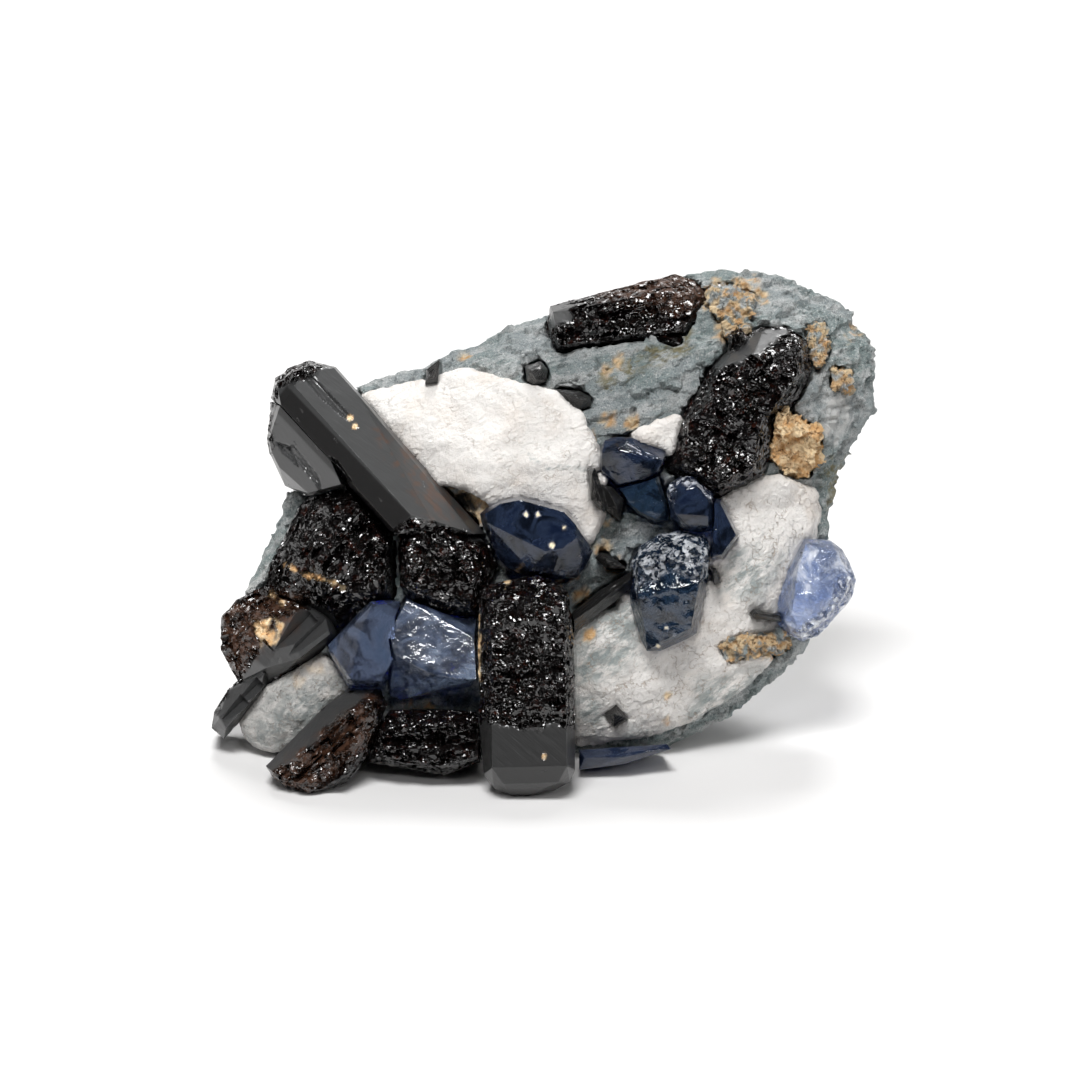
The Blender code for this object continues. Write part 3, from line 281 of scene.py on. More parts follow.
def makeNeptunite(name, look):
    material, tree, shader, spot = newSurface(name)
    etched = painted(tree, "etched")
    # the smooth faces get a dark grey base and the etched parts a near black one: painted light and shade on one
    # mineral, for the grey of the faces' reflections and the dark of the etched pits
    base = mixColor(tree, etched, look["face"], look["black"])
    glow = rampOf(tree, noiseOf(tree, spot, 1.1, 5.0, 0.75), 0.54, 0.70, 0.0, 0.75)
    base = mixColor(tree, calc(tree, "MULTIPLY", glow, etched), base, look["red"])
    dull = rampOf(tree, noiseOf(tree, spot, 0.9, 5.0, 0.75), 0.36, 0.60, 0.0, 0.95)
    brown = calc(tree, "MULTIPLY", dull, painted(tree, "brown"))
    base = mixColor(tree, brown, base, look["brown"])
    # painted shade: where it is painted, the base colour goes to black and the specular level drops by half
    paintedShade = painted(tree, "paintedShade")
    base = mixColor(tree, paintedShade, base, look["black"])
    tan = painted(tree, "tan")
    base = mixColor(tree, tan, base, tanColor(tree, spot))
    tree.links.new(base, shader.inputs["Base Color"])
    rough = rampOf(tree, etched, 0.0, 1.0, look["faceRoughness"], look["glossRoughness"])
    rough = calc(tree, "MAXIMUM", rough, calc(tree, "MAXIMUM", calc(tree, "MULTIPLY", tan, 0.8), calc(tree, "MULTIPLY", brown, 0.5)))
    tree.links.new(rough, shader.inputs["Roughness"])
    shader.inputs["IOR"].default_value = look["ior"]
    shine = calc(tree, "MULTIPLY", calc(tree, "SUBTRACT", 1.0, calc(tree, "MULTIPLY", paintedShade, 0.5)), look["shine"])
    tree.links.new(shine, shader.inputs["Specular IOR Level"])
    crooked = wandered(tree, spot, 1.0, 0.6)
    facets = chips(tree, crooked, look["chip"], look["chipSlope"], look["chipStep"])
    facets = calc(tree, "MULTIPLY", facets, calc(tree, "MAXIMUM", etched, tan))
    lines = noiseOf(tree, drawnOut(tree, spot, look["lineWay"], 14.0), 2.2, 3.0, 0.6)
    linkBump(tree, shader, calc(tree, "ADD", facets, calc(tree, "MULTIPLY", lines, look["lines"])), 1.0)
    return material


def makeBenitoite(name, look):
    material, tree, shader, spot = newSurface(name)
    veils = noiseOf(tree, spot, look["veilScale"], 6.0, 0.7, 0.8)
    base = mixColor(tree, rampOf(tree, veils, 0.42, 0.66), look["deep"], look["haze"])
    etched = painted(tree, "etched")
    crooked = wandered(tree, spot, 1.4, 1.6)
    cells = addNode(tree, "ShaderNodeTexVoronoi", {"Vector": crooked, "Scale": 1.9, "Randomness": 1.0})
    lot = addNode(tree, "ShaderNodeSeparateXYZ", {0: cells.outputs["Color"]}).outputs[1]
    # painted glints: a share of the chips on the etched parts is painted white, with less transmission, standing in for
    # light glinting off them
    paintedGlints = calc(tree, "MULTIPLY", rampOf(tree, lot, 0.55, 0.62), etched)
    base = mixColor(tree, calc(tree, "MULTIPLY", paintedGlints, 0.85), base, look["paintedGlintColor"])
    specks = painted(tree, "tan")
    base = mixColor(tree, specks, base, tanLook["speck"])
    tree.links.new(base, shader.inputs["Base Color"])
    clear = rampOf(tree, veils, 0.42, 0.72, look["clear"], look["clear"] - look["milky"])
    clear = calc(tree, "SUBTRACT", clear, calc(tree, "MULTIPLY", paintedGlints, 0.45))
    tree.links.new(calc(tree, "MULTIPLY", clear, calc(tree, "SUBTRACT", 1.0, specks)), shader.inputs["Transmission Weight"])
    shader.inputs["IOR"].default_value = look["ior"]
    shader.inputs["Roughness"].default_value = look["roughness"]
    facets = chips(tree, crooked, 0.55, 0.9, 0.12)
    swirls = calc(tree, "MULTIPLY", noiseOf(tree, spot, 1.0, 3.0, 0.5, 1.0), look["swirl"])
    linkBump(tree, shader, calc(tree, "ADD", calc(tree, "MULTIPLY", facets, etched), swirls), 1.0)
    inside = addNode(tree, "ShaderNodeVolumeAbsorption", {"Color": (*look["absorb"], 1.0), "Density": look["density"]})
    tree.links.new(inside.outputs["Volume"], tree.nodes["Material Output"].inputs["Volume"])
    return material


benitoiteLooks = {
    "benitoiteDark": {
        "deep": (0.17, 0.26, 0.50), "haze": (0.014, 0.026, 0.07), "paintedGlintColor": (0.85, 0.88, 0.95), "clear": 0.98, "milky": 0.35,
        "veilScale": 0.35, "roughness": 0.03, "swirl": 0.05, "absorb": (0.05, 0.14, 0.46), "density": 540.0, "ior": 1.56,
    },
    "benitoiteDeep": {
        "deep": (0.06, 0.10, 0.22), "haze": (0.012, 0.02, 0.05), "paintedGlintColor": (0.85, 0.88, 0.95), "clear": 0.80, "milky": 0.3,
        "veilScale": 0.5, "roughness": 0.05, "swirl": 0.12, "absorb": (0.04, 0.10, 0.36), "density": 1500.0, "ior": 1.62,
    },
    "benitoiteGrey": {
        "deep": (0.40, 0.50, 0.78), "haze": (0.09, 0.13, 0.22), "paintedGlintColor": (0.85, 0.88, 0.95), "clear": 0.96, "milky": 0.5,
        "veilScale": 0.3, "roughness": 0.03, "swirl": 0.04, "absorb": (0.09, 0.22, 0.56), "density": 370.0, "ior": 1.66,
    },
    "benitoiteSmoky": {
        "deep": (0.30, 0.40, 0.66), "haze": (0.20, 0.26, 0.36), "paintedGlintColor": (0.85, 0.88, 0.95), "clear": 0.94, "milky": 0.62,
        "veilScale": 0.26, "roughness": 0.11, "swirl": 0.035, "absorb": (0.07, 0.20, 0.58), "density": 370.0, "ior": 1.66,
    },
    "benitoitePale": {
        "deep": (0.58, 0.68, 0.88), "haze": (0.72, 0.75, 0.82), "paintedGlintColor": (0.90, 0.92, 0.96), "clear": 0.90, "milky": 0.66,
        "veilScale": 0.36, "roughness": 0.05, "swirl": 0.20, "absorb": (0.36, 0.49, 0.73), "density": 190.0, "ior": 1.70,
    },
    "benitoiteTeal": {
        "deep": (0.12, 0.24, 0.46), "haze": (0.02, 0.04, 0.07), "paintedGlintColor": (0.85, 0.88, 0.92), "clear": 0.97, "milky": 0.4,
        "veilScale": 0.6, "roughness": 0.04, "swirl": 0.10, "absorb": (0.05, 0.20, 0.50), "density": 420.0, "ior": 1.62,
    },
}

finishes = {
    "schist": makeSchist(),
    "natroliteWhite": makeNatrolite("natroliteWhite", 0.10, 4.5, 0.35),
    "natroliteGrey": makeNatrolite("natroliteGrey", 0.55, 2.6, 0.7),
    "natroliteSmoky": makeNatrolite("natroliteSmoky", 0.75, 1.8, 0.8, 0.72),
    "tanCrust": makeTan(),
    "neptunite": makeNeptunite("neptunite", neptuniteLook),
    "neptuniteInk": makeNeptunite("neptuniteInk", inkLook),
}
for finishName, look in benitoiteLooks.items():
    finishes[finishName] = makeBenitoite(finishName, look)
print("finishes made:", len(finishes))


# pieces cut from the frame's own solids

def copyOfNode(nodeName, pieceName):
    shape = bmesh.new()
    shape.from_mesh(nodes[nodeName].data)
    shape.transform(nodes[nodeName].matrix_world)
    bmesh.ops.remove_doubles(shape, verts=shape.verts, dist=0.002 * mm)
    bmesh.ops.recalc_face_normals(shape, faces=shape.faces)
    mesh = bpy.data.meshes.new(pieceName)
    shape.to_mesh(mesh)
    shape.free()
    piece = bpy.data.objects.new(pieceName, mesh)
    bpy.context.scene.collection.objects.link(piece)
    return piece


def settle(piece):
    # turns the piece with its modifiers into one plain mesh
    graph = bpy.context.evaluated_depsgraph_get()
    mesh = bpy.data.meshes.new_from_object(piece.evaluated_get(graph))
    piece.modifiers.clear()
    old = piece.data
    piece.data = mesh
    bpy.data.meshes.remove(old)


def chamfer(piece, width, least=30.0):
    step = piece.modifiers.new("worn edges", "BEVEL")
    step.width = width * mm
    step.segments = 1
    step.limit_method = "ANGLE"
    step.angle_limit = math.radians(least)
    settle(piece)


def remeshed(piece, voxel):
    step = piece.modifiers.new("voxels", "REMESH")
    step.mode = "VOXEL"
    step.voxel_size = voxel * mm
    settle(piece)


def shadeByAngle(piece, angle):
    shape = bmesh.new()
    shape.from_mesh(piece.data)
    for face in shape.faces:
        face.smooth = True
    for edge in shape.edges:
        edge.smooth = not edge.is_manifold or edge.calc_face_angle() < math.radians(angle)
    shape.to_mesh(piece.data)
    shape.free()


def paint(piece, name, share):
    # writes one value for each vertex, from its place on the show face
    values = piece.data.attributes.get(name) or piece.data.attributes.new(name, "FLOAT", "POINT")
    for vert in piece.data.vertices:
        across, up, out = faceSpot(vert.co)
        values.data[vert.index].value = share(across, up, out, vert.co)


def keepOverFloor(piece):
    for vert in piece.data.vertices:
        vert.co.z = max(vert.co.z, 0.0)


def handOver(piece, nodeName):
    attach(piece, "root")
    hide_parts(nodeName)


def startTree(name, sockets):
    tree = bpy.data.node_groups.new(name, "GeometryNodeTree")
    tree.interface.new_socket("Geometry", in_out="INPUT", socket_type="NodeSocketGeometry")
    for label, value in sockets.items():
        kind = "NodeSocketVector" if isinstance(value, tuple) else "NodeSocketFloat"
        tree.interface.new_socket(label, in_out="INPUT", socket_type=kind).default_value = value
    tree.interface.new_socket("Material", in_out="INPUT", socket_type="NodeSocketMaterial")
    tree.interface.new_socket("Geometry", in_out="OUTPUT", socket_type="NodeSocketGeometry")
    return tree, tree.nodes.new("NodeGroupInput").outputs


def closeTree(tree, geometry, material):
    real = addNode(tree, "GeometryNodeRealizeInstances", {0: geometry})
    covered = addNode(tree, "GeometryNodeSetMaterial", {"Geometry": real.outputs[0], "Material": material})
    tree.links.new(covered.outputs[0], tree.nodes.new("NodeGroupOutput").inputs[0])


def runTree(piece, tree, values):
    step = piece.modifiers.new(tree.name, "NODES")
    step.node_group = tree
    for item in tree.interface.items_tree:
        if item.in_out == "INPUT" and item.name in values:
            step[item.identifier] = values[item.name]
    settle(piece)


def movedAlongNormal(tree, geometry, height):
    normal = tree.nodes.new("GeometryNodeInputNormal").outputs[0]
    offset = vecCalc(tree, "SCALE", normal, calc(tree, "MULTIPLY", height, mm))
    return addNode(tree, "GeometryNodeSetPosition", {"Geometry": geometry, "Offset": offset}).outputs[0]


def placeInMillimetres(tree):
    return vecCalc(tree, "SCALE", tree.nodes.new("GeometryNodeInputPosition").outputs[0], 1.0 / mm)


def meshValue(tree, name):
    return addNode(tree, "GeometryNodeInputNamedAttribute", {"Name": name}, data_type="FLOAT").outputs["Attribute"]


def centred(tree, value, height):
    return calc(tree, "MULTIPLY", calc(tree, "SUBTRACT", value, 0.5), calc(tree, "MULTIPLY", height, 2.0))


def stoneTree():
    tree, given = startTree("stoneRelief", {
        "Lump size": 3.0, "Lump height": 0.5, "Chip size": 1.2, "Chip slope": 0.4, "Chip step": 0.2,
        "Grain size": 0.5, "Grain height": 0.1, "Ledge spacing": 4.0, "Ledge height": 0.4,
        "Ledge way": (0.0, 0.0, 1.0), "Crack size": 4.0, "Crack depth": 0.1, "Swell": 0.25,
        "Outline share": 1.0,
    })
    spot = placeInMillimetres(tree)
    height = centred(tree, noiseOf(tree, spot, calc(tree, "DIVIDE", 1.0, given["Lump size"]), 4.0, 0.55), given["Lump height"])
    grain = noiseOf(tree, spot, calc(tree, "DIVIDE", 1.0, given["Grain size"]), 3.0, 0.7)
    height = calc(tree, "ADD", height, centred(tree, grain, given["Grain height"]))
    crooked = wandered(tree, spot, 0.6, 2.5)
    height = calc(tree, "ADD", height, chips(tree, crooked, given["Chip size"], given["Chip slope"], given["Chip step"]))
    climb = calc(tree, "DIVIDE", vecCalc(tree, "DOT_PRODUCT", spot, given["Ledge way"]), given["Ledge spacing"])
    climb = calc(tree, "ADD", climb, calc(tree, "MULTIPLY", noiseOf(tree, spot, 0.16, 4.0), 3.0))
    tread = calc(tree, "FRACT", climb)
    ledge = calc(tree, "SUBTRACT", rampOf(tree, tread, 0.0, 0.14, -0.5, 0.5), tread)
    height = calc(tree, "ADD", height, calc(tree, "MULTIPLY", ledge, given["Ledge height"]))
    edge = addNode(tree, "ShaderNodeTexVoronoi",
                   {"Vector": crooked, "Scale": calc(tree, "DIVIDE", 1.0, given["Crack size"])},
                   feature="DISTANCE_TO_EDGE").outputs["Distance"]
    height = calc(tree, "SUBTRACT", height, calc(tree, "MULTIPLY", rampOf(tree, edge, 0.0, 0.06, 1.0, 0.0), given["Crack depth"]))
    height = calc(tree, "ADD", height, given["Swell"])
    floorFade = rampOf(tree, addNode(tree, "ShaderNodeSeparateXYZ", {0: spot}).outputs[2], 0.1, 1.6)
    normal = tree.nodes.new("GeometryNodeInputNormal").outputs[0]
    facing = calc(tree, "ABSOLUTE", vecCalc(tree, "DOT_PRODUCT", normal, tuple(outFace)))
    along = calc(tree, "MULTIPLY", given["Outline share"], rampOf(tree, facing, 0.0, 0.45, 1.0, 0.0))
    height = calc(tree, "MULTIPLY", height, calc(tree, "ADD", rampOf(tree, facing, 0.0, 0.45), along))
    closeTree(tree, movedAlongNormal(tree, given["Geometry"], calc(tree, "MULTIPLY", height, floorFade)), given["Material"])
    return tree


def hackTree():
    tree, given = startTree("hackRelief", {
        "Grain way": (1.0, 0.0, 0.0), "Stretch": 2.0, "Chip size": 1.3, "Chip slope": 0.7, "Chip step": 0.6,
        "Fine size": 0.5, "Fine step": 0.2, "Swell": 0.1, "Wave": 0.03,
    })
    spot = placeInMillimetres(tree)
    drawn = drawnOut(tree, wandered(tree, spot, 0.5, 1.6), given["Grain way"], given["Stretch"])
    height = chips(tree, drawn, given["Chip size"], given["Chip slope"], given["Chip step"])
    height = calc(tree, "ADD", height, chips(tree, drawn, given["Fine size"], given["Chip slope"], given["Fine step"]))
    height = calc(tree, "MULTIPLY", calc(tree, "ADD", height, given["Swell"]), meshValue(tree, "etched"))
    height = calc(tree, "SUBTRACT", height, meshValue(tree, "sunk"))
    height = calc(tree, "ADD", height, centred(tree, noiseOf(tree, spot, 0.35, 2.0), given["Wave"]))
    normal = tree.nodes.new("GeometryNodeInputNormal").outputs[0]
    facing = calc(tree, "MAXIMUM", vecCalc(tree, "DOT_PRODUCT", normal, tuple(outFace)), 0.0)
    outward = addNode(tree, "ShaderNodeCombineXYZ", dict(enumerate(outFace))).outputs[0]
    way = vecCalc(tree, "ADD", vecCalc(tree, "SCALE", normal, 0.14),
                  vecCalc(tree, "SCALE", outward, calc(tree, "MULTIPLY", facing, 0.86)))
    offset = vecCalc(tree, "SCALE", way, calc(tree, "MULTIPLY", height, mm))
    moved = addNode(tree, "GeometryNodeSetPosition", {"Geometry": given["Geometry"], "Offset": offset}).outputs[0]
    closeTree(tree, moved, given["Material"])
    return tree


stoneRelief = stoneTree()
hackRelief = hackTree()

# the rock and its crusts; stains, and the painted shade on the crystals, are spots, veins and patches in millimetres on
# the show face

rockRelief = {
    "Lump size": 3.0, "Lump height": 0.45, "Chip size": 1.7, "Chip slope": 0.32, "Chip step": 0.16, "Grain size": 0.8,
    "Grain height": 0.12, "Ledge spacing": 3.6, "Ledge height": 0.55, "Ledge way": faceWay(-0.42, 0.90, 0.1),
    "Crack size": 6.0, "Crack depth": 0.0, "Swell": 0.0, "Outline share": 0.45,
}
whiteRelief = {
    "Lump size": 1.9, "Lump height": 0.34, "Chip size": 1.3, "Chip slope": 0.05, "Chip step": 0.02, "Grain size": 0.6,
    "Grain height": 0.07, "Ledge spacing": 4.0, "Ledge height": 0.05, "Ledge way": faceWay(-0.57, 0.82, 0.1),
    "Crack size": 3.2, "Crack depth": 0.02, "Swell": 0.3, "Outline share": 1.6,
}
crumbRelief = {
    "Lump size": 1.5, "Lump height": 0.9, "Chip size": 1.0, "Chip slope": 0.5, "Chip step": 0.3, "Grain size": 0.4,
    "Grain height": 0.2, "Ledge spacing": 2.2, "Ledge height": 0.1, "Ledge way": faceWay(0.6, 0.7, 0.3),
    "Crack size": 1.3, "Crack depth": 0.3, "Swell": 0.0, "Outline share": 1.3,
}
stones = {
    "matrix_schist": {
        "piece": "schistRock", "finish": "schist", "slot": "schist", "voxel": 0.36, "relief": rockRelief,
        "tan": {
            "spots": [(8.0, 17.7, 0.7), (6.8, 12.0, 0.8), (9.2, 11.7, 0.7), (5.0, 10.3, 0.7), (23.2, -6.0, 0.9),
                      (6.6, 17.0, 0.4), (10.4, 24.2, 0.5), (22.0, 24.2, 0.8), (31.4, 20.6, 0.6), (-7.5, 18.4, 0.4),
                      (1.5, -4.6, 0.9), (4.2, -5.6, 0.9), (2.8, -3.8, 0.6), (6.2, -0.6, 0.7), (5.0, -8.6, 0.9),
                      (7.5, -2.6, 0.7), (6.8, 2.0, 0.5), (-11.6, -17.2, 0.9), (-13.4, -16.4, 0.6)],
            "patches": [[(15.0, 24.2), (17.5, 25.8), (21.5, 26.4), (22.4, 24.8), (20.4, 22.0), (18.2, 19.6),
                         (17.2, 20.8), (17.8, 22.6)],
                        [(-10.8, 4.6), (-8.8, 6.6), (-6.6, 6.8), (-4.4, 6.0), (-4.0, 4.0), (-6.0, 1.4), (-8.6, 2.0)]],
            "cover": 0.56,
        },
        "olive": {"patches": [[(5.6, 16.8), (10.0, 19.0), (15.0, 20.8), (15.4, 19.0), (10.0, 16.8), (6.4, 14.6)],
                              [(28.0, 7.0), (32.0, 9.0), (33.5, 4.0), (29.0, 2.0)]]},
        "pale": {"patches": [[(28.2, 14.2), (30.8, 14.8), (31.2, 12.0), (29.8, 9.6), (28.2, 11.0)],
                             [(-31.6, -6.8), (-27.8, -3.2), (-27.0, -1.4), (-27.4, -3.8), (-30.0, -6.6)],
                             [(10.0, 10.2), (13.4, 10.4), (13.0, 9.2), (11.0, 9.0)]], "cover": 0.8},
        "dark": {"patches": [[(-9.0, 4.6), (-7.6, 4.8), (-6.2, 3.6), (-6.4, 2.6), (-8.0, 3.2)]]},
    },
    "natrolite_upper": {
        "piece": "natroliteUpper", "slope": 1.0, "finish": "natroliteWhite", "slot": "natrolite", "voxel": 0.24, "relief": whiteRelief,
        "pale": {"veins": [([(-1.4, 8.4), (1.0, 6.9), (3.0, 7.4), (4.8, 7.0)], 0.12)]},
    },
    "natrolite_right": {
        "piece": "natroliteRight", "slope": 1.0, "finish": "natroliteGrey", "slot": "natrolite", "voxel": 0.24, "relief": whiteRelief,
        "tan": {"spots": [(12.8, -15.5, 0.3), (12.8, -18.0, 0.3), (5.0, -9.4, 0.5), (22.6, -11.4, 0.5)], "soft": 0.25},
        "pale": {"patches": [[(3.4, -9.0), (9.4, -5.0), (9.9, -11.5), (7.4, -13.8), (3.4, -14.6)],
                             [(3.5, -15.5), (6.0, -15.5), (6.0, -19.0), (3.5, -19.0)],
                             [(16.0, -14.0), (22.0, -13.0), (22.0, -18.0), (14.0, -20.6)],
                             [(9.0, -18.6), (13.0, -19.4), (13.0, -21.8), (8.0, -21.4)],
                             [(19.0, -0.6), (24.0, -2.0), (22.0, -6.0), (18.0, -5.0)]], "soft": 1.3, "cover": 2.0},
    },
    "natrolite_left": {
        "piece": "natroliteLeft", "slope": 0.8, "finish": "natroliteSmoky", "slot": "natrolite", "voxel": 0.2, "relief": whiteRelief,
        "tan": {"spots": [(-22.6, -13.0, 0.6), (-24.0, -14.0, 0.5)], "level": 0.35, "soft": 0.5},
        "pale": {"patches": [[(-30.0, -20.0), (-26.0, -15.0), (-20.0, -13.0), (-20.0, -18.0), (-28.0, -22.0)]], "soft": 3.0},
    },
    "natrolite_wedge": {
        "piece": "natroliteWedge", "slope": 0.6, "finish": "natroliteWhite", "slot": "natrolite", "voxel": 0.18, "relief": whiteRelief,
    },
}
for crust, cover in (("right", 9.0), ("top", 0.20), ("edge", 0.34), ("side", 0.40), ("lower", 0.24)):
    stones["tan_crust_" + crust] = {
        "piece": "tanCrust" + crust.capitalize(), "finish": "tanCrust" if cover > 1.0 else "schist", "slot": "tan_crust",
        "voxel": 0.16, "relief": crumbRelief, "tan": {"everywhere": True, "cover": cover},
    }


def stainAndShadeAt(across, up, out, point, plan):
    if out < -3.0:
        return 0.0
    soft = plan.get("soft", 0.25)
    wobble = ripple(point, 0.9, 0.9) + ripple(point, 0.3, 0.35, 7.0)
    best = 9.0 if plan.get("everywhere") else -9.0
    for x, y, radius in plan.get("spots", ()):
        best = max(best, radius - math.hypot(across - x, up - y))
    for points, width in plan.get("veins", ()):
        best = max(best, width - pathDistance(across, up, points))
    for corners in plan.get("patches", ()):
        best = max(best, edgeDistance(across, up, corners))
    if best < -2.0 - soft:
        return 0.0
    share = softStep(best + wobble * plan.get("wobble", 0.8), -soft, soft) * plan.get("level", 1.0)
    return share * softStep(ripple(point, 0.8, 1.0, 3.0), -plan.get("cover", 0.9), 0.1)


def makeStone(nodeName, plan):
    piece = copyOfNode(nodeName, plan["piece"])
    if "slope" in plan:
        chamfer(piece, plan["slope"])
    remeshed(piece, plan["voxel"])
    runTree(piece, stoneRelief, {**plan["relief"], "Material": finishes[plan["finish"]]})
    keepOverFloor(piece)
    for stainAndShadeName in ("tan", "olive", "pale", "dark"):
        if stainAndShadeName in plan:
            paint(piece, stainAndShadeName, lambda across, up, out, point: stainAndShadeAt(across, up, out, point, plan[stainAndShadeName]))
    handOver(piece, nodeName)
    return piece


for nodeName, plan in stones.items():
    stone = makeStone(nodeName, plan)
    print("stone:", stone.name, len(stone.data.polygons), "faces")


# crystals: planar faces, and rough parts where the surface is etched or broken

def meshedFinely(piece, longest):
    # cuts the long edges again and again, which leaves the flat faces flat and the sharp edges sharp
    shape = bmesh.new()
    shape.from_mesh(piece.data)
    bmesh.ops.dissolve_limit(shape, angle_limit=math.radians(2.0), verts=shape.verts, edges=shape.edges)
    bmesh.ops.triangulate(shape, faces=shape.faces)
    for halving in range(9):
        long = [edge for edge in shape.edges if edge.calc_length() > longest * mm]
        if not long:
            break
        bmesh.ops.subdivide_edges(shape, edges=long, cuts=1)
        bmesh.ops.triangulate(shape, faces=[face for face in shape.faces if len(face.verts) > 3])
        flat = [edge for edge in shape.edges if edge.is_manifold and edge.calc_face_angle(1.0) < 0.01]
        bmesh.ops.beautify_fill(shape, faces=shape.faces, edges=flat, method="ANGLE")
    shape.to_mesh(piece.data)
    shape.free()


def insideAny(across, up, patches, wobble, soft):
    best = -9.0
    for corners in patches:
        best = max(best, edgeDistance(across, up, corners))
    return softStep(best + wobble, -soft, soft)


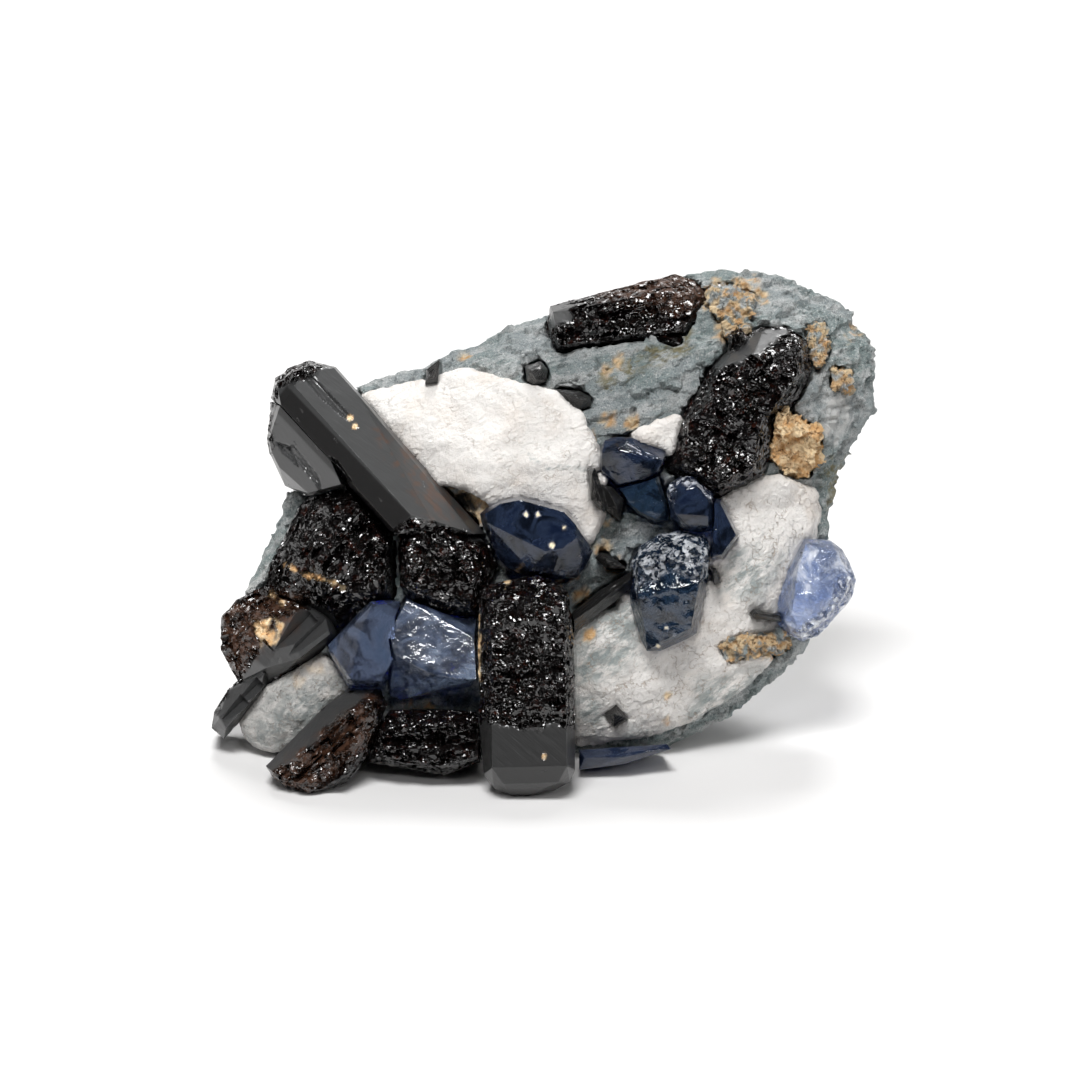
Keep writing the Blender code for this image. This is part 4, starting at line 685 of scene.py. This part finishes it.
crystalLook = {
    "edge": 0.34, "chamfer": 0.05, "Grain way": faceWay(1.0, 0.0), "Stretch": 2.0, "Chip size": 1.5, "Chip slope": 0.55,
    "Chip step": 0.65, "Fine size": 0.75, "Fine step": 0.08, "Swell": 0.1, "Wave": 0.03, "finish": "neptunite",
}
crystals = {
    "neptunite_front_block": {
        "piece": "frontBlock", "Grain way": faceWay(1.0, 0.05), "Stretch": 3.4, "Chip size": 1.2, "edge": 0.28,
        "whole": [[(-8.0, -18.9), (-5.0, -18.2), (-2.0, -18.9), (1.0, -18.3), (3.6, -18.7), (8.0, -18.4), (8.0, -28.0),
                   (-8.0, -28.0)]],
        # painted shade over the foot of the block
        "paintedShade": {"patches": [[(-8.0, -18.0), (8.0, -18.0), (8.0, -28.0), (-8.0, -28.0)]], "level": 0.45, "cover": 9.0},
        "tan": {"veins": [([(-6.2, -7.6), (-6.0, -14.0)], 0.10)], "spots": [(-3.2, -4.2, 0.3), (0.4, -21.6, 0.22)],
                "soft": 0.12, "wobble": 0.3},
    },
    "neptunite_upper_right": {
        "piece": "upperRight", "Grain way": faceWay(0.95, -0.25), "Stretch": 2.4, "Chip size": 1.2, "edge": 0.28,
        "whole": [[(17.2, 17.4), (18.2, 18.8), (20.2, 19.2), (21.4, 20.9), (25.2, 21.3), (22.4, 18.7), (18.2, 17.0)]],
    },
    "neptunite_top_bar": {
        "piece": "topBar", "Grain way": faceWay(0.98, 0.16), "Stretch": 2.6, "edge": 0.28,
        "whole": [[(0.8, 23.5), (3.1, 23.7), (3.3, 21.8), (1.2, 21.4)]],
        "brown": {"patches": [[(6.0, 24.6), (12.0, 27.0), (18.0, 27.0), (18.0, 22.0), (12.0, 23.4)]], "soft": 1.5},
    },
    "neptunite_left_mass": {
        "piece": "leftMass", "Grain way": faceWay(0.7, 0.7), "Stretch": 1.4, "Chip size": 1.5,
        "whole": [[(-26.0, -8.2), (-24.0, -7.0), (-21.8, -6.6), (-20.3, -7.8), (-19.9, -9.2), (-21.8, -11.8),
                   (-24.0, -12.4), (-25.5, -13.1), (-27.2, -15.1), (-29.8, -18.2), (-31.4, -20.1), (-32.9, -19.1),
                   (-32.8, -17.5), (-31.8, -16.0), (-30.0, -14.0), (-28.2, -11.5)]],
        "brown": {"patches": [[(-31.8, -6.0), (-24.0, -5.6), (-24.6, -8.6), (-28.6, -11.4), (-31.0, -13.6)]], "soft": 1.2},
        "tan": {"veins": [([(-25.3, -2.5), (-23.4, -3.6), (-21.4, -4.0), (-19.6, -4.8)], 0.12)],
                "patches": [[(-28.6, -8.0), (-26.6, -7.8), (-25.6, -8.6), (-26.4, -10.4), (-28.0, -10.8)]],
                "spots": [(-26.8, -5.5, 0.35), (-25.8, -6.3, 0.25)], "cover": 0.5, "soft": 0.15, "wobble": 0.35},
    },
    "neptunite_lower_left": {
        "piece": "lowerLeft", "Grain way": faceWay(0.74, 0.67), "Stretch": 3.2,
        "whole": [[(-28.0, -22.4), (-24.0, -18.5), (-19.8, -15.1), (-16.8, -14.7), (-17.0, -15.4), (-20.6, -18.2),
                   (-24.6, -22.2), (-26.8, -23.4)]],
        "brown": {"patches": [[(-27.0, -23.4), (-17.0, -15.8), (-17.0, -20.0), (-24.0, -26.0)]], "soft": 1.0},
    },
    "neptunite_low_bar": {"piece": "lowBar", "Stretch": 1.6, "Chip size": 1.1},
    "neptunite_long_prism": {
        "piece": "longPrism", "Grain way": faceWay(0.9, -0.4), "Stretch": 1.5, "edge": 0.28,
        "rough": [[(-28.5, 16.0), (-26.3, 15.6), (-26.7, 11.0), (-27.0, 8.0), (-28.5, 8.0)],
                  [(-15.0, 0.5), (-12.9, 2.4), (-10.0, 1.5), (-5.8, -0.1), (-3.0, -1.0), (-3.0, -9.0), (-16.0, -9.0)],
                  [(-27.6, 15.0), (-26.2, 16.8), (-24.2, 18.6), (-20.0, 18.6), (-22.4, 17.0), (-24.2, 16.0), (-25.8, 15.2)]],
        "sunk": [([(-24.1, 16.8), (-22.9, 16.5), (-20.8, 14.3), (-18.9, 12.3), (-19.4, 12.2), (-20.6, 13.2), (-22.0, 14.4)], 0.6),
                 ([(-26.3, 9.7), (-25.2, 9.4), (-24.2, 7.4), (-25.7, 8.8)], 0.6),
                 ([(-25.3, 9.2), (-24.7, 9.4), (-22.1, 6.2), (-21.9, 4.7), (-22.4, 5.7)], 0.6),
                 ([(-20.9, 8.2), (-20.3, 7.9), (-18.9, 5.9), (-19.6, 5.2)], 0.8)],
        "tan": {"spots": [(-19.0, 12.2, 0.32), (-18.5, 11.4, 0.28)], "soft": 0.08, "wobble": 0.15, "cover": 9.0},
        "brown": {"patches": [[(-17.2, 11.4), (-10.8, 2.0), (-6.0, 2.0), (-12.0, 9.0)]], "soft": 0.8, "cover": 0.1,
                  "level": 0.7},
        # painted shade over the middle face of the prism
        "paintedShade": {"patches": [[(-25.3, 15.4), (-26.9, 13.4), (-14.6, 0.4), (-12.8, 2.3)]], "wobble": 0.0, "cover": 9.0,
                  "level": 0.75, "soft": 0.1},
    },
    "benitoite_left_outer": {"piece": "benitoiteLeftOuter", "edge": 0.7, "finish": "benitoiteGrey", "rough": []},
    "benitoite_left_inner": {"piece": "benitoiteLeftInner", "finish": "benitoiteSmoky", "rough": [], "Wave": 0.05},
    "benitoite_center": {
        "piece": "benitoiteCenter", "finish": "benitoiteDark", "rough": [],
        "tan": {"spots": [(-1.3, 2.6, 0.14), (-0.3, 2.5, 0.20), (-2.3, 1.4, 0.16), (2.4, 1.2, 0.12), (1.2, -0.6, 0.34)],
                "soft": 0.08, "wobble": 0.4, "cover": 9.0},
    },
    "benitoite_upper": {"piece": "benitoiteUpper", "edge": 0.7, "finish": "benitoiteDark", "rough": []},
    "benitoite_middle": {"piece": "benitoiteMiddle", "edge": 0.7, "finish": "benitoiteTeal", "rough": []},
    "benitoite_cracked": {
        "piece": "benitoiteCracked", "finish": "benitoiteDark", "Chip size": 0.9,
        "rough": [[(12.4, 3.8), (12.7, 5.2), (13.2, 6.2), (15.4, 6.6), (17.4, 4.8), (17.2, 3.8), (15.6, 5.6), (14.0, 5.6),
                   (13.2, 3.4)]],
    },
    "benitoite_triangle": {"piece": "benitoiteTriangle", "edge": 0.7, "finish": "benitoiteDark", "rough": []},
    "benitoite_lower": {
        "piece": "benitoiteLower", "finish": "benitoiteTeal", "Chip size": 0.8, "Wave": 0.32,
        "rough": [[(8.8, -3.0), (9.2, -1.2), (11.5, 0.8), (15.0, 1.2), (17.4, 0.0), (17.2, -2.2), (16.5, -4.2),
                   (14.0, -3.0), (11.5, -4.0), (9.2, -5.0)]],
        "tan": {"spots": [(12.6, -8.8, 0.1), (13.4, -9.4, 0.1), (11.8, -10.4, 0.16)], "soft": 0.12,
                "wobble": 0.4, "cover": 9.0},
    },
    "benitoite_right": {
        "piece": "benitoiteRight", "finish": "benitoitePale", "Wave": 0.10, "Chip size": 1.0,
        "rough": [[(28.6, -6.6), (30.2, -4.0), (31.6, -2.4), (31.8, -8.0), (27.0, -10.0), (25.0, -9.6)]],
    },
    "benitoite_bottom_strip": {"piece": "benitoiteBottomStrip", "finish": "benitoiteDeep", "rough": [], "Wave": 0.3},
    "neptunite_blade_top_left": {"piece": "bladeTopLeft", "finish": "neptuniteInk", "edge": 0.7, "rough": []},
    "neptunite_cube_top": {"piece": "cubeTop", "finish": "neptuniteInk", "edge": 0.7, "rough": []},
    "neptunite_sliver_top": {"piece": "sliverTop", "finish": "neptuniteInk", "edge": 0.7, "rough": []},
    "neptunite_twin_blades": {"piece": "twinBlades", "finish": "neptuniteInk", "edge": 0.7, "rough": []},
    "neptunite_shard_center": {"piece": "shardCenter", "finish": "neptuniteInk", "edge": 0.7, "rough": []},
    "neptunite_long_rod": {"piece": "longRod", "finish": "neptuniteInk", "rough": [], "Wave": 0.05},
    "neptunite_rod_right": {"piece": "rodRight", "finish": "neptuniteInk", "edge": 0.7, "rough": []},
    "neptunite_needle_lower_right": {"piece": "needleLowerRight", "finish": "neptuniteInk", "edge": 0.7, "rough": []},
    "neptunite_octahedral": {"piece": "octahedral", "finish": "neptuniteInk", "edge": 0.7, "rough": []},
}


def makeCrystal(nodeName, ownPlan):
    plan = {**crystalLook, **ownPlan}
    piece = copyOfNode(nodeName, plan["piece"])
    chamfer(piece, plan["chamfer"])
    meshedFinely(piece, plan["edge"])

    def etchedAt(across, up, out, point):
        wobble = ripple(point, 1.0, 0.6)
        if "rough" in plan:
            return insideAny(across, up, plan["rough"], wobble, 0.25)
        return 1.0 - insideAny(across, up, plan.get("whole", ()), wobble, 0.25)

    def sunkAt(across, up, out, point):
        return sum(insideAny(across, up, [corners], 0.0, 0.15) * depth for corners, depth in plan.get("sunk", ()))

    paint(piece, "etched", etchedAt)
    paint(piece, "sunk", sunkAt)
    relief = {item.name: plan[item.name] for item in hackRelief.interface.items_tree if item.name in plan}
    runTree(piece, hackRelief, {**relief, "Material": finishes[plan["finish"]]})
    keepOverFloor(piece)
    # the stains and the painted shade go on after the relief
    for stainAndShadeName in ("tan", "brown", "paintedShade"):
        if stainAndShadeName in plan:
            paint(piece, stainAndShadeName, lambda across, up, out, point: stainAndShadeAt(across, up, out, point, plan[stainAndShadeName]))
    shadeByAngle(piece, 22.0)
    handOver(piece, nodeName)
    return piece


for nodeName, plan in crystals.items():
    crystal = makeCrystal(nodeName, plan)
    print("crystal:", crystal.name, len(crystal.data.polygons), "faces")


# the surface it stands on, the light and the camera

studio = {
    "sweepWidth": 2.4, "sweepFront": -1.2, "sweepBack": 0.9, "sweepRise": 1.4, "bend": 0.35,
    "floorColor": (0.69, 0.684, 0.68), "floorGlow": 0.0,
    "worldLevel": 0.34, "worldFront": 0.04, "lens": 200.0, "sensor": 36.0,
}
softboxes = {
    "keyBox": {"place": (-0.08, -0.40, 0.76), "size": (0.34, 0.22), "power": 8.0},
    "backBox": {"place": (0.06, 0.46, 0.80), "size": (0.42, 0.26), "power": 7.0},
    "leftBox": {"place": (-0.75, -0.05, 0.40), "size": (0.25, 0.5), "power": 0.2},
    "rightBox": {"place": (0.75, -0.10, 0.40), "size": (0.25, 0.5), "power": 0.8},
    "leftGlint": {"place": (-0.36, -0.54, 0.48), "size": (0.07, 0.07), "power": 0.36},
    "rightGlint": {"place": (0.36, -0.60, 0.40), "size": (0.07, 0.07), "power": 0.45},
    "lowGlint": {"place": (0.06, -0.62, 0.52), "size": (0.06, 0.06), "power": 0.40},
}


def makeSweep():
    profile = [(studio["sweepFront"], 0.0)]
    centerY = studio["sweepBack"] - studio["bend"]
    for step in range(13):
        angle = math.radians(90.0 * step / 12)
        profile.append((centerY + studio["bend"] * math.sin(angle), studio["bend"] * (1.0 - math.cos(angle))))
    profile.append((studio["sweepBack"], studio["sweepRise"]))
    shape = bmesh.new()
    half = studio["sweepWidth"] / 2
    previous = None
    for y, z in profile:
        pair = [shape.verts.new((side * half, y, z)) for side in (-1.0, 1.0)]
        if previous:
            shape.faces.new((previous[0], previous[1], pair[1], pair[0]))
        previous = pair
    bmesh.ops.recalc_face_normals(shape, faces=shape.faces)
    mesh = bpy.data.meshes.new("sweep")
    shape.to_mesh(mesh)
    shape.free()
    for polygon in mesh.polygons:
        polygon.use_smooth = True
    sweep = bpy.data.objects.new("sweep", mesh)
    bpy.context.scene.collection.objects.link(sweep)
    paper = bpy.data.materials.new("paper")
    paper.use_nodes = True
    shader = paper.node_tree.nodes["Principled BSDF"]
    shader.inputs["Base Color"].default_value = (*studio["floorColor"], 1.0)
    shader.inputs["Roughness"].default_value = 0.9
    shader.inputs["Emission Color"].default_value = (1.0, 1.0, 1.0, 1.0)
    shader.inputs["Emission Strength"].default_value = studio["floorGlow"]
    mesh.materials.append(paper)


def addSoftbox(name, plan):
    light = bpy.data.lights.new(name, "AREA")
    light.shape = "RECTANGLE"
    light.size, light.size_y = plan["size"]
    light.energy = plan["power"]
    lamp = bpy.data.objects.new(name, light)
    lamp.location = plan["place"]
    lamp.rotation_euler = (Vector((0.0, 0.0, faceLift)) - Vector(plan["place"])).to_track_quat("-Z", "Y").to_euler()
    bpy.context.scene.collection.objects.link(lamp)


def makeWorld():
    # a bright tent that is dark towards the camera
    world = bpy.data.worlds.new("tent")
    bpy.context.scene.world = world
    world.use_nodes = True
    tree = world.node_tree
    way = tree.nodes.new("ShaderNodeTexCoord").outputs["Generated"]
    front = vecCalc(tree, "DOT_PRODUCT", way, (0.0, -0.94, 0.34))
    level = rampOf(tree, front, 0.35, 0.85, studio["worldLevel"], studio["worldFront"])
    tree.links.new(level, tree.nodes["Background"].inputs["Strength"])


def makeCamera():
    data = bpy.data.cameras.new("camera")
    data.lens = studio["lens"]
    data.sensor_width = studio["sensor"]
    data.clip_start = 0.01
    camera = bpy.data.objects.new("camera", data)
    camera.location = Vector((0.0, 0.0, faceLift)) + outFace * eyeDistance
    camera.rotation_euler = (math.radians(90.0) - faceLean, 0.0, 0.0)
    bpy.context.scene.collection.objects.link(camera)
    bpy.context.scene.camera = camera


makeSweep()
makeWorld()
for boxName, plan in softboxes.items():
    addSoftbox(boxName, plan)
makeCamera()
bpy.context.scene.view_settings.view_transform = "Standard"
print("studio ready")
